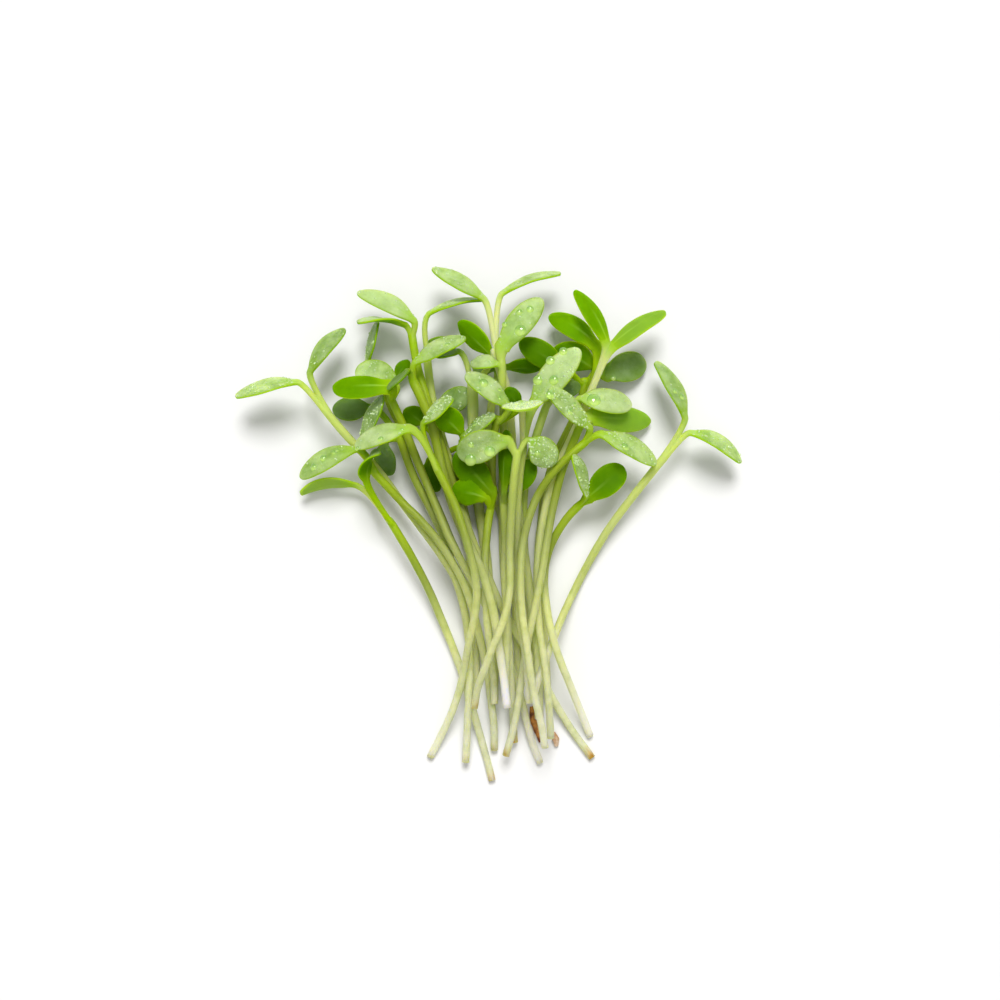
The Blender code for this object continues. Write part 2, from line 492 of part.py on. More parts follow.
def finish(body, colour, roughness, bunch):
    """Gives a body its own material and puts it in the bunch's collection."""
    paint = bpy.data.materials.new(body.name + "_surface")
    paint.use_nodes = True
    surface = paint.node_tree.nodes["Principled BSDF"]
    surface.inputs["Base Color"].default_value = (*colour, 1)
    surface.inputs["Roughness"].default_value = roughness
    surface.inputs["Metallic"].default_value = 0.0
    body.data.materials.clear()
    body.data.materials.append(paint)
    bpy.context.scene.collection.objects.unlink(body)
    bunch.objects.link(body)


def sprout_object(name, row, stem, lifts, bunch):
    """One sprout: its stem and both leaves in one solid."""
    taper = np.linspace(*STEM_TAPER, len(stem))
    body = tube_object(name, stem, row["width"] / 2 * taper)
    leaves = bpy.data.collections.new(name + "_leaves")
    bpy.context.scene.collection.children.link(leaves)
    for side, blade in enumerate(row["leaves"]):
        leaves.objects.link(leaf_object(f"{name}_leaf_{side}", blade, stem, lifts[side]))
    join = body.modifiers.new("leaves", "BOOLEAN")
    join.operation = "UNION"
    join.solver = "MANIFOLD"
    join.operand_type = "COLLECTION"
    join.collection = leaves
    bpy.context.view_layer.update()
    evaluated = body.evaluated_get(bpy.context.evaluated_depsgraph_get())
    joined = bpy.data.meshes.new_from_object(evaluated)
    body.modifiers.clear()
    body.data = joined
    for blade in list(leaves.objects):
        bpy.data.objects.remove(blade)
    bpy.data.collections.remove(leaves)
    shade = row["order"] / len(SPROUTS)
    finish(body, (0.13 + 0.2 * shade, 0.33 + 0.17 * shade, 0.03), 0.5, bunch)


for thing in list(bpy.data.objects):
    bpy.data.objects.remove(thing)
bunch = bpy.data.collections.new("chia_microgreens")
bpy.context.scene.collection.children.link(bunch)
stems, lifts = lay_bunch()
for number, row in enumerate(SPROUTS):
    sides = [lifts[number, side] for side in range(len(row["leaves"]))]
    sprout_object(f"sprout_{number + 1:02d}", row, stems[number], sides, bunch)
for number, (points, radii) in enumerate(SEED_COATS):
    coat = tube_object(f"seed_coat_{number + 1}", points, radii)
    finish(coat, (0.23, 0.1, 0.03), 0.6, bunch)
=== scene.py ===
import json
import math
import random

import bmesh
import bpy
import numpy as np
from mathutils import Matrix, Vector, noise
from mathutils.kdtree import KDTree

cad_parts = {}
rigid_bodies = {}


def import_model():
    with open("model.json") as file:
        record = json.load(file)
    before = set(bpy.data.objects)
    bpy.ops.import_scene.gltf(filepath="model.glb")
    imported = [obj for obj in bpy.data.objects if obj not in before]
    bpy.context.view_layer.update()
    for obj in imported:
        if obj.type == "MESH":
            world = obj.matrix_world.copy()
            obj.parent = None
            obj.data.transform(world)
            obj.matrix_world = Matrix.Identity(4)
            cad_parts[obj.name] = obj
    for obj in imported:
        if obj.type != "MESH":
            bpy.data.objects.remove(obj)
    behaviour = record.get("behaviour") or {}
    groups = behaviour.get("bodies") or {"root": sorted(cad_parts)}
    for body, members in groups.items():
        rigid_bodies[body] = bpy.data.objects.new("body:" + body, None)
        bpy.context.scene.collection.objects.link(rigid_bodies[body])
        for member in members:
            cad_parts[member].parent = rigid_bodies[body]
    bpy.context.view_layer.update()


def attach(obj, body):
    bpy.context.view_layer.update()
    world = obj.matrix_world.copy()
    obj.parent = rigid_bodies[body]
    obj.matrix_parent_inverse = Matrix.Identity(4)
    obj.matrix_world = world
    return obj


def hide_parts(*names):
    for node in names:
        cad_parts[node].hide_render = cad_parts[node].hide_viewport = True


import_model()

# How the bunch lies
# Thirty cut sprouts, dropped on a white table and fanned out at the leaf end. Each stem and leaf
# is laid in turn and lifted over whatever already lies there. Sizes here are in millimetres.
MM = 0.001
EYE_HEIGHT = 195.0
EYE_AXIS = np.array([1.4, 3.68])
STEM_WIDTH = 1.12
STALK_WIDTH = 0.78
BLADE_THICKNESS = 0.62
RIB_THICKNESS = 0.72
GAP = 0.22

# How a stem bends over what it crosses, and how finely it is made
STEM_SPANS = 13
STEM_TAPER = (0.9, 1.04)
STEM_FLAT = 0.87
STEM_CURVATURE = 0.035
STALK_STATIONS = (0.0, 0.4, 0.75)
BLADE_STATIONS = (0.0, 0.12, 0.3, 0.5, 0.7, 0.88, 1.0)
SINK = 1.3
STALK_SPREAD = 0.22
STALK_STEPS = 40
FEELER_STEP = 0.4
RISES_FROM = 0.3
LEAVE_PULL = 0.25
SPREAD_AHEAD = 4
CURVE_STEPS = 24
COAT_FEELERS = 12
SEARCH_MARGIN = 1.2
NOTHING_BELOW = -1e9


def leaf(order, base, tip, width, turn, rise=0.6, bend=0.0, twist=0.0, cup=0.1, sweep=0.8, neck=1.2,
         taper=0.2):
    """One seed leaf: where its blade starts and ends, its width, and how it is turned.

    sweep is how far the stalk swings round to the blade, and neck is its width where it gets there.
    rise and bend arch the blade up and sideways, twist turns it further towards the tip, cup lifts
    its sides, and taper is the share of its width that it loses towards the tip.
    """
    return {
        "order": order, "base": base, "tip": tip, "width": width, "turn": turn,
        "rise": rise, "bend": bend, "twist": twist, "cup": cup, "sweep": sweep,
        "neck": neck, "taper": taper,
    }


def sprout(order, fork_height, stem, *leaves, width=STEM_WIDTH):
    """One sprout: its stem from the cut end up to the fork, and its two leaves."""
    return {
        "order": order, "fork_height": fork_height, "stem": stem,
        "leaves": leaves, "width": width,
    }


# The bunch, sprout by sprout: places are millimetres from the eye's axis as seen from
# above, heights are millimetres over the table, turns are degrees about the blade
SPROUTS = [
    sprout(16, 5.4,
        [(-4.8, -36.7), (-4.6, -32.5), (-4.4, -28.0), (-4.2, -23.5), (-4.4, -19.6),
         (-5.2, -14.5), (-6.5, -10.6), (-9.2, -6.4), (-14.0, 0.0), (-17.4, 4.6),
         (-20.7, 8.1), (-24.8, 12.9)],
        leaf(44.0, (-28.4, 16.5, 6.0), (-37.0, 14.4, 5.0), 3.9, 58, bend=-0.5, sweep=0.45,
             taper=0.34),
        leaf(44.1, (-26.6, 17.9, 5.6), (-21.7, 23.9, 4.6), 4.0, -50, bend=0.5, sweep=0.45,
             taper=0.34)),
    sprout(16.5, 4.6,
        [(-0.8, -35.0), (-0.9, -31.0), (-1.4, -27.0), (-2.0, -23.0), (-2.8, -19.4),
         (-3.9, -15.0), (-5.4, -11.0), (-7.9, -6.8), (-10.6, -3.4), (-13.7, -0.3),
         (-18.3, 4.6)],
        leaf(67.0, (-20.2, 7.1, 4.8), (-27.9, 3.1, 3.5), 3.9, 35, bend=-0.6, taper=0.28),
        leaf(40.5, (-19.4, 8.2, 6.4), (-16.5, 14.6, 3.6), 3.6, -55)),
    sprout(14, 4.0,
        [(-1.1, -39.3), (-2.2, -35.0), (-3.4, -30.8), (-4.8, -26.0), (-6.2, -21.7),
         (-8.4, -16.2), (-10.1, -12.3), (-12.5, -7.7), (-15.7, -2.4)],
        leaf(69.0, (-20.3, 2.1, 2.8), (-27.9, 0.8, 2.0), 3.8, 117, bend=-0.8, taper=0.34),
        leaf(68.0, (-18.7, 2.6, 4.6), (-16.8, 6.9, 5.6), 4.2, -150, bend=0.9, twist=90)),
    sprout(34, 7.0,
        [(-9.8, -36.0), (-8.4, -33.3), (-6.9, -30.1), (-5.5, -25.9), (-4.4, -20.3),
         (-3.3, -14.7), (-3.5, -10.5), (-4.5, -6.3), (-6.3, -0.7), (-9.3, 5.3)],
        leaf(70.0, (-12.9, 10.0, 8.4), (-20.2, 7.4, 6.4), 4.0, 42, bend=-0.4, neck=1.8),
        leaf(59.0, (-10.6, 10.9, 7.0), (-6.7, 14.4, 8.6), 3.9, -58)),
    sprout(17, 4.6,
        [(5.6, -36.8), (3.9, -31.9), (2.7, -26.6), (1.3, -22.4), (-0.4, -18.2),
         (-2.0, -14.7), (-3.9, -11.2), (-6.6, -6.4), (-8.2, -2.8), (-9.6, 0.7), (-12.3, 7.3),
         (-13.9, 11.2), (-15.7, 15.1)],
        leaf(42.0, (-15.5, 15.8, 7.6), (-23.4, 15.6, 6.8), 3.9, -150, bend=-0.2, neck=2.6,
             taper=0.06),
        leaf(41.0, (-14.5, 16.0, 3.6), (-20.2, 17.2, 3.2), 4.5, 15, rise=0.3, bend=-0.9, sweep=1.0,
             neck=0.9, taper=0.06)),
    sprout(12, 2.6,
        [(-6.8, -8.0), (-7.9, -5.2), (-9.2, -2.4), (-10.6, 0.4), (-11.9, 2.9), (-12.9, 5.4),
         (-13.8, 8.0), (-14.5, 9.6)],
        leaf(12.2, (-16.0, 8.1, 2.8), (-15.1, 3.6, 1.4), 3.3, 0, bend=-0.6, neck=0.9),
        leaf(12.1, (-18.2, 12.9, 1.6), (-23.4, 12.6, 0.4), 3.7, 4, rise=0.3)),
    sprout(11, 2.6,
        [(-5.0, -9.3), (-6.8, -5.6), (-8.4, -1.8), (-10.6, 3.1), (-12.3, 7.0), (-13.8, 10.2),
         (-15.4, 13.4), (-16.3, 16.6)],
        leaf(40.0, (-18.6, 19.2, 3.4), (-17.2, 24.9, 3.0), 3.7, -72),
        leaf(11.1, (-14.5, 17.2, 2.2), (-12.9, 19.5, 1.4), 2.2, 180)),
    sprout(18, 4.6,
        [(12.9, -36.1), (10.5, -32.9), (6.7, -26.6), (4.2, -21.7), (1.1, -16.8),
         (-1.7, -10.5), (-3.6, -6.3), (-5.0, -2.1), (-6.4, 2.1), (-8.0, 7.0), (-9.2, 11.2),
         (-10.5, 15.0), (-11.6, 18.9), (-12.2, 21.7), (-12.5, 24.1)],
        leaf(46.0, (-12.1, 25.1, 5.6), (-20.0, 29.0, 4.8), 3.6, 38, bend=-0.6, taper=0.34),
        leaf(45.0, (-13.3, 24.5, 4.4), (-20.0, 24.9, 4.0), 3.6, 112, bend=-0.5, twist=-45,
             neck=1.6)),
    sprout(33, 6.5,
        [(1.0, -29.1), (0.6, -25.5), (0.1, -22.0), (-0.4, -18.5), (-1.1, -14.8),
         (-2.0, -11.5), (-3.5, -7.8), (-5.6, -3.5), (-7.4, 1.7), (-8.7, 7.0), (-9.9, 11.9),
         (-11.5, 15.1), (-12.6, 17.5)],
        leaf(65.0, (-11.9, 19.2, 7.6), (-4.8, 22.7, 7.8), 4.0, -50, bend=0.4, taper=0.34),
        leaf(66.0, (-13.0, 18.0, 6.8), (-15.7, 15.5, 6.6), 3.4, 72), width=1.3),
    sprout(8.9, 3.8,
        [(-3.5, -28.3), (-3.3, -24.5), (-3.5, -20.0), (-3.8, -15.0), (-4.2, -9.0), (-4.3, -3.6),
         (-4.9, -1.7), (-6.2, 2.8), (-7.6, 7.0), (-8.7, 10.9), (-9.5, 14.3), (-10.0, 17.9),
         (-10.3, 21.0)],
        leaf(47.0, (-9.8, 26.2, 5.0), (-2.5, 28.0, 4.0), 3.4, -78, bend=0.5),
        leaf(19.1, (-10.2, 21.6, 3.4), (-7.3, 21.6, 2.2), 3.4, 50, bend=0.3, neck=0.9)),
    sprout(20, 4.4,
        [(5.5, -30.6), (5.3, -28.3), (5.4, -25.4), (5.4, -22.0), (5.0, -18.2), (4.1, -12.6),
         (3.3, -7.0), (2.5, -1.4), (1.8, 4.9), (1.4, 11.2), (0.8, 15.8), (-0.4, 19.6),
         (-1.0, 21.4)],
        leaf(48.0, (-2.3, 28.2, 6.0), (-9.5, 32.4, 5.0), 3.8, 52, bend=-0.25, sweep=0.45,
             taper=0.36),
        leaf(48.1, (0.3, 28.9, 5.4), (8.5, 31.7, 4.4), 3.6, -70, bend=0.6, sweep=0.45, neck=1.5,
             taper=0.34),
        width=1.4),
    sprout(21, 6.0,
        [(2.0, -33.9), (1.7, -28.0), (1.3, -21.0), (0.8, -14.0), (0.4, -7.0), (0.3, 0.0),
         (0.4, 6.3), (0.5, 11.9), (0.3, 16.0), (0.3, 19.6)],
        leaf(50.0, (0.3, 21.3, 6.6), (5.9, 28.1, 7.0), 4.2, -10, bend=0.3, neck=2.4),
        leaf(49.0, (-0.3, 19.0, 6.6), (-4.0, 19.2, 6.0), 3.4, 52, bend=-0.2)),
    sprout(6.5, 4.6,
        [(-0.9, -28.0), (-0.9, -24.5), (-0.9, -20.0), (-1.3, -15.0), (-1.8, -9.8), (-2.2, -5.6),
         (-3.1, 0.0), (-3.6, 5.6), (-3.8, 10.5), (-3.8, 14.7), (-3.9, 17.2)],
        leaf(19.2, (-5.9, 20.8, 5.6), (-9.1, 20.6, 4.8), 3.4, 60),
        leaf(6.6, (-1.2, 20.4, 4.4), (-5.8, 24.9, 4.0), 3.8, 145), width=1.5),
    sprout(22, 6.0,
        [(-1.0, -1.0), (-1.1, 2.1), (-1.0, 7.7), (-0.3, 11.9)],
        leaf(55.0, (1.2, 13.1, 8.0), (-4.8, 17.6, 7.6), 4.0, 38, bend=-0.3),
        leaf(22.1, (2.7, 13.2, 4.9), (0.9, 15.6, 3.6), 2.6, 170)),
    sprout(23, 5.4,
        [(-4.2, -0.3), (-4.5, 1.4), (-5.0, 4.4), (-5.2, 6.6), (-5.3, 8.5)],
        leaf(54.0, (-5.0, 9.0, 7.0), (-0.7, 12.0, 7.4), 3.8, -60),
        leaf(53.0, (-5.4, 9.4, 6.0), (-8.6, 12.6, 6.6), 4.2, 165)),
    sprout(24, 5.0,
        [(-0.8, -28.6), (-0.9, -25.0), (-1.3, -21.0), (-1.8, -17.0), (-2.0, -12.6),
         (-2.1, -8.4), (-1.7, -3.5), (-1.1, 0.0)],
        leaf(24.2, (-1.3, 1.2, 6.4), (-6.2, 6.6, 6.0), 4.4, 178, neck=2.0, taper=0.06),
        leaf(24.1, (-2.1, 0.4, 4.8), (-6.6, 1.1, 3.8), 4.0, 168, bend=-0.3, neck=2.0, taper=0.06)),
    sprout(21.2, 3.0,
        [(0.8, -27.5), (0.9, -21.0), (0.9, -16.0), (0.6, -10.0), (0.7, -4.9), (0.4, 0.8)],
        leaf(22.05, (0.6, 1.4, 3.2), (0.9, 9.8, 3.0), 3.4, 135),
        leaf(21.5, (1.8, 1.2, 3.4), (4.5, 5.5, 3.6), 4.0, 160)),
    sprout(35, 8.0,
        [(-3.6, -29.1), (-3.1, -26.3), (-2.2, -23.8), (-1.3, -21.3), (-0.1, -18.5),
         (0.9, -15.4), (1.4, -12.0), (1.4, -6.3), (1.7, 0.0), (2.1, 4.2), (2.5, 7.1)],
        leaf(61.0, (1.0, 8.1, 9.0), (-5.6, 5.9, 8.2), 4.8, -8, bend=-0.7, cup=0.3, neck=2.0,
             taper=0.06),
        leaf(60.0, (4.1, 8.4, 8.4), (6.7, 4.6, 7.0), 4.4, 0, bend=0.6, neck=0.9, taper=0.06)),
    sprout(28, 6.6,
        [(4.1, -28.4), (3.9, -25.0), (3.5, -21.0), (2.8, -16.8), (2.4, -11.2), (2.4, -5.6),
         (2.5, 0.0), (2.9, 4.9), (3.4, 8.1)],
        leaf(57.0, (4.7, 13.4, 8.2), (11.2, 21.1, 9.4), 4.8, -14, bend=0.3, neck=1.8, taper=0.28),
        leaf(58.0, (3.1, 13.6, 9.4), (3.2, 12.6, 13.2), 6.5, 0, rise=0.2, sweep=0.5)),
    sprout(27, 4.0,
        [(0.8, -35.8), (1.8, -32.2), (2.6, -28.0), (3.4, -22.4), (4.5, -16.8), (5.7, -11.0),
         (6.7, -4.9), (7.8, 0.7), (9.2, 5.6), (10.6, 8.8), (11.6, 11.4)],
        leaf(52.0, (11.1, 14.2, 5.6), (18.4, 13.2, 5.0), 4.1, -28, bend=0.2, neck=0.9, taper=0.12),
        leaf(27.1, (12.8, 11.6, 2.6), (21.0, 11.1, 0.9), 4.1, 170, neck=2.6)),
    sprout(26, 4.4,
        [(7.1, -33.3), (6.8, -28.0), (6.2, -22.4), (5.4, -16.8), (5.2, -10.5), (5.8, -4.2),
         (6.9, 1.4), (8.5, 5.6), (10.2, 9.1), (11.6, 12.3), (12.9, 15.7)],
        leaf(51.0, (14.9, 21.7, 6.0), (10.4, 29.3, 5.2), 3.6, -138, bend=-0.6, sweep=0.45, neck=1.8,
             taper=0.34),
        leaf(51.1, (15.4, 21.1, 6.0), (23.2, 26.3, 5.2), 3.9, 130, bend=0.5, sweep=0.45, neck=2.2,
             taper=0.34)),
    sprout(9, 2.4,
        [(6.7, -27.0), (6.5, -23.5), (6.2, -19.0), (5.6, -13.0), (5.3, -7.5), (5.7, -4.0),
         (6.6, 0.7),
         (8.1, 5.3), (9.9, 9.1), (11.6, 12.9), (12.9, 16.1), (13.8, 19.0)],
        leaf(10.1, (13.3, 21.6, 3.2), (6.9, 25.7, 2.6), 3.9, -150, bend=-0.6, neck=2.2),
        leaf(10.0, (14.8, 17.7, 2.2), (20.3, 19.4, 0.6), 4.4, -4, rise=0.4, neck=2.6, taper=0.06)),
    sprout(7, 1.8,
        [(5.3, -9.5), (5.5, -6.5), (5.7, -3.5), (6.2, 0.8), (7.4, 5.2), (9.2, 9.1), (10.9, 12.6),
         (11.6, 15.1), (11.8, 17.2)],
        leaf(8.5, (13.1, 18.5, 2.6), (7.3, 20.3, 2.4), 4.8, 162, bend=-0.6, neck=0.9),
        leaf(8.0, (8.9, 18.5, 1.4), (2.8, 22.3, 1.0), 4.0, 180)),
    sprout(25.5, 4.0,
        [(12.6, -33.0), (11.2, -29.4), (9.8, -25.9), (8.4, -22.4), (7.3, -18.9),
         (6.5, -14.7), (6.2, -10.5), (6.9, -6.9), (8.3, -4.1), (10.0, -1.8), (11.9, 0.0)],
        leaf(63.0, (12.3, 0.3, 5.2), (17.3, 4.6, 4.8), 4.3, 172, cup=-0.2, neck=2.0, taper=0.06),
        leaf(63.1, (12.1, 0.6, 5.6), (10.1, 6.3, 5.0), 3.8, 62, bend=-0.3)),
    sprout(25, 4.2,
        [(4.5, -28.2), (5.2, -25.6), (6.4, -22.4), (8.4, -17.1), (10.4, -12.7), (12.6, -8.4),
         (15.1, -4.2),
         (18.2, 0.0), (21.3, 3.9), (23.6, 6.7)],
        leaf(64.0, (25.9, 11.5, 5.0), (21.7, 19.3, 3.8), 3.8, 50, bend=-0.6, sweep=0.45,
             taper=0.36),
        leaf(64.1, (26.6, 9.4, 5.0), (33.7, 5.2, 3.6), 3.9, -58, bend=0.9, sweep=0.45, taper=0.34)),
    sprout(10.5, 5.4,
        [(4.5, -26.0), (4.4, -22.0), (4.3, -18.0), (3.8, -12.0), (3.4, -6.0), (3.3, -1.0),
         (3.6, 2.8),
         (4.5, 7.0), (5.7, 10.9), (6.7, 13.8)],
        leaf(10.7, (7.2, 15.2, 4.0), (9.6, 19.2, 3.4), 3.0, 180),
        leaf(10.6, (8.2, 15.0, 4.0), (11.1, 16.1, 2.8), 2.6, 0)),
    sprout(29, 5.6,
        [(6.3, -34.7), (5.8, -31.5), (5.0, -28.3), (4.4, -25.0), (3.9, -21.5), (3.3, -17.5),
         (2.9, -12.6), (3.1, -7.0), (3.8, -3.5), (4.8, -0.4), (6.3, 2.4), (8.5, 5.0),
         (10.6, 7.0), (12.6, 8.6)],
        leaf(62.0, (14.2, 9.2, 7.4), (21.8, 4.9, 5.8), 4.1, -40, bend=0.5, neck=1.5, taper=0.34),
        leaf(59.5, (12.5, 10.2, 7.6), (6.9, 15.7, 9.6), 3.4, 25)),
    sprout(5, 2.4,
        [(2.6, -25.5), (2.4, -20.0), (2.2, -15.0), (1.9, -9.0), (0.4, -3.0), (-0.8, 1.0),
         (-1.6, 6.3), (-1.4, 11.9), (-0.4, 17.0)],
        leaf(6.0, (1.0, 18.6, 2.8), (6.3, 18.8, 2.2), 3.6, -132),
        leaf(6.1, (-0.6, 18.3, 2.2), (-3.6, 18.0, 1.6), 3.2, 0, bend=-0.6, neck=0.9)),
    sprout(3, 2.6,
        [(-4.4, -7.2), (-5.4, -3.4), (-6.9, 1.4), (-8.3, 6.3), (-9.8, 10.4)],
        leaf(4.1, (-8.8, 12.4, 2.6), (-4.3, 15.3, 2.2), 3.8, 10),
        leaf(4.0, (-10.8, 10.8, 2.2), (-13.3, 12.6, 1.4), 3.4, 180)),
    sprout(1, 1.4,
        [(-3.9, -5.8), (-4.9, -2.6), (-5.9, 0.5), (-7.1, 4.5), (-8.1, 7.6)],
        leaf(2.0, (-9.8, 5.5, 1.4), (-8.5, 1.4, 0.8), 3.0, 180, bend=-0.6),
        leaf(2.1, (-5.2, 7.1, 1.4), (-6.3, 1.8, 0.8), 2.6, 180, bend=0.6, sweep=1.0, neck=0.9)),
]

# Dry seed coats among the cut ends: points along each, with its radius there
SEED_COATS = [
    ([(4.4, -28.9, 0.5), (4.65, -30.4, 0.6), (5.1, -32.0, 0.55), (5.7, -33.9, 0.4)],
     [0.24, 0.56, 0.44, 0.22]),
    ([(7.5, -32.5, 0.35), (7.75, -33.4, 0.5), (7.9, -34.5, 0.4)],
     [0.2, 0.48, 0.24]),
]


def along(points, count):
    """Reads a smooth curve through the points at equal steps of its length."""
    points = np.array(points, float)
    ends = np.vstack([2 * points[0] - points[1], points, 2 * points[-1] - points[-2]])
    fine = []
    for i in range(len(points) - 1):
        p0, p1, p2, p3 = ends[i:i + 4]
        for t in np.linspace(0, 1, CURVE_STEPS, endpoint=False):
            fine.append(0.5 * (2 * p1 + (p2 - p0) * t + (2 * p0 - 5 * p1 + 4 * p2 - p3) * t ** 2
                               + (3 * p1 - p0 - 3 * p2 + p3) * t ** 3))
    fine.append(points[-1])
    fine = np.array(fine)
    run = np.concatenate([[0], np.cumsum(np.linalg.norm(np.diff(fine, axis=0), axis=1))])
    steps = np.linspace(0, run[-1], count)
    return np.column_stack([np.interp(steps, run, column) for column in fine.T]), steps


def along_radii(radii, count):
    """Reads the radii of a tapering tube at equal steps."""
    return np.interp(np.linspace(0, len(radii) - 1, count), range(len(radii)), radii)


def ease(x):
    """Rises smoothly from 0 to 1 as x goes from 0 to 1."""
    x = np.clip(x, 0, 1)
    return x * x * (3 - 2 * x)


def needed_heights(places, radii, laid):
    """The lowest height at which each place clears everything that is already laid."""
    need = np.full(len(places), NOTHING_BELOW)
    if not len(laid):
        return need
    reach = radii.max() + SEARCH_MARGIN
    low, high = places.min(axis=0) - reach, places.max(axis=0) + reach
    near = laid[((laid[:, :2] > low) & (laid[:, :2] < high)).all(axis=1)]
    for k in range(len(places)):
        apart = ((near[:, :2] - places[k]) ** 2).sum(axis=1)
        clear = (near[:, 3] + radii[k] + GAP) ** 2 - apart
        under = clear > 0
        if under.any():
            need[k] = (near[under, 2] + np.sqrt(clear[under])).max()
    return need


def lay_stem(row, laid):
    """Stations of a stem, low at the cut end, rising to the fork and bent over what it crosses."""
    radius = row["width"] / 2
    plan, steps = along(row["stem"], STEM_SPANS + 1)
    rising = ease((steps / steps[-1] - RISES_FROM) / (1 - RISES_FROM))
    rest = radius * STEM_FLAT
    heights = rest + (row["fork_height"] - rest) * rising
    feelers = np.arange(0, steps[-1], FEELER_STEP)
    places = np.column_stack([np.interp(feelers, steps, column) for column in plan.T])
    need = needed_heights(places, np.full(len(feelers), radius), laid)
    sag = STEM_CURVATURE * (steps[1] / 2) ** 2
    for k, step in enumerate(steps):
        bent = need + sag - STEM_CURVATURE * (feelers - step) ** 2
        heights[k] = max(heights[k], bent.max())
    feeler_heights = np.interp(feelers, steps, heights)
    feeler_rows = np.column_stack([places, feeler_heights, np.full(len(feelers), radius)])
    return np.column_stack([plan, heights]), feeler_rows


def blade_half_width(t, width, neck, taper):
    """Half the width of an oblong blade, t from its base to its tip."""
    oblong = (1 - abs(1 - 2 * t ** 1.1) ** 2.2) ** (1 / 2.2)
    blade = width / 2 * oblong * (1 - 0.5 * (1 - t) ** 4) * (1 - taper * t ** 2)
    shoulder = neck / 2 * (1 - t) ** 1.5
    return (blade ** 3 + shoulder ** 3) ** (1 / 3)


def leaf_stations(row, stem, lift, stalk_ts=STALK_STATIONS, blade_ts=BLADE_STATIONS):
    """Centre, sideways and upward directions and half width at each station of a leaf."""
    base = np.array(row["base"], float) + [0, 0, lift[0]]
    tip = np.array(row["tip"], float) + [0, 0, lift[1]]
    run = tip - base
    flat = np.array([-run[1], run[0], 0.0])
    left = flat / np.linalg.norm(flat)
    up = np.array([0.0, 0.0, 1.0])
    bulge = row["bend"] * left + row["rise"] * up
    toward = stem[-1] - stem[-2]
    toward = toward / np.linalg.norm(toward)
    start = stem[-1] - SINK * toward
    ahead = (base - start) @ toward
    aside = base - start - toward * ahead
    apart = STALK_SPREAD * min(max(ahead / SPREAD_AHEAD, 0), 1)
    start = start + aside * (apart / max(np.linalg.norm(aside), STALK_SPREAD))
    span = np.linalg.norm(base - start)
    leave = toward * span * LEAVE_PULL
    arrive = run + 4 * bulge
    arrive = arrive / np.linalg.norm(arrive) * span * row["sweep"]

    def stalk_heading(u):
        return ((6 * u ** 2 - 6 * u) * start + (3 * u ** 2 - 4 * u + 1) * leave
                + (6 * u - 6 * u ** 2) * base + (3 * u ** 2 - 2 * u) * arrive)

    # The stalk's sides follow on from the blade's, so that it has no half turn
    flips = []
    flip, across = 1, np.cross(up, arrive)
    for u in np.linspace(1, 0, STALK_STEPS + 1):
        side = np.cross(up, stalk_heading(u))
        flip = -flip if side @ across < 0 else flip
        across = side
        flips.append(flip)
    stations = []
    for u in stalk_ts:
        centre = ((2 * u ** 3 - 3 * u ** 2 + 1) * start + (u ** 3 - 2 * u ** 2 + u) * leave
                  + (3 * u ** 2 - 2 * u ** 3) * base + (u ** 3 - u ** 2) * arrive)
        heading = stalk_heading(u)
        broadened = STALK_WIDTH + (row["neck"] - STALK_WIDTH) * u ** 2
        stations.append((u - 1, centre, heading, broadened / 2))
    for t in blade_ts:
        centre = base + run * t + 4 * t * (1 - t) * bulge
        heading = run + 4 * (1 - 2 * t) * bulge
        half = blade_half_width(t, row["width"], row["neck"], row["taper"])
        stations.append((t, centre, heading, half))
    framed = []
    for t, centre, heading, half in stations:
        heading = heading / np.linalg.norm(heading)
        side = np.cross(up, heading)
        side = side / max(np.linalg.norm(side), 1e-6)
        if t < 0:
            side = side * flips[round(-t * STALK_STEPS)]
        over = np.cross(heading, side)
        turn = math.radians(row["turn"] + row["twist"] * min(max(t, 0), 1))
        turned_side = side * math.cos(turn) + over * math.sin(turn)
        turned_over = over * math.cos(turn) - side * math.sin(turn)
        framed.append((t, centre, turned_side, turned_over, half))
    return framed


def leaf_feelers(row, stem, lift):
    """Points over a leaf, their radii, and how far each follows the blade's base and tip."""
    stalk = tuple(np.linspace(0.25, 0.95, 8))
    blade = tuple(np.linspace(0.0, 1.0, 22))
    points, radii, shares = [], [], []
    for t, centre, side, over, half in leaf_stations(row, stem, lift, stalk, blade):
        if t < 0:
            for reach in (-1, 0, 1):
                points.append(centre + side * reach * (half - STALK_WIDTH / 2))
                radii.append(STALK_WIDTH / 2)
                shares.append((float(ease(t + 1)), 0.0))
            continue
        for reach in np.linspace(-1, 1, 9):
            across = reach * max(half - BLADE_THICKNESS / 2, 0)
            points.append(centre + side * across + over * row["cup"] * abs(across))
            radii.append(RIB_THICKNESS / 2)
            shares.append((1 - t, t))
    return np.array(points), np.array(radii), np.array(shares)


def lay_leaf(row, stem, laid):
    """How far a leaf's base and tip are raised to clear everything that is already laid."""
    points, radii, shares = leaf_feelers(row, stem, (0.0, 0.0))
    need = np.maximum(needed_heights(points[:, :2], radii, laid), radii)
    short = need - points[:, 2]
    lift = np.zeros(2)
    for end in (0, 1):
        mostly = shares[:, end] > 0.5
        lift[end] = max((short[mostly] / shares[mostly].sum(axis=1)).max(), 0.0)
    left_over = short - shares @ lift
    firm = shares.sum(axis=1) > 0.5
    lift += max((left_over[firm] / shares[firm].sum(axis=1)).max(), 0.0)
    points, radii, shares = leaf_feelers(row, stem, lift)
    return lift, np.column_stack([points, radii])


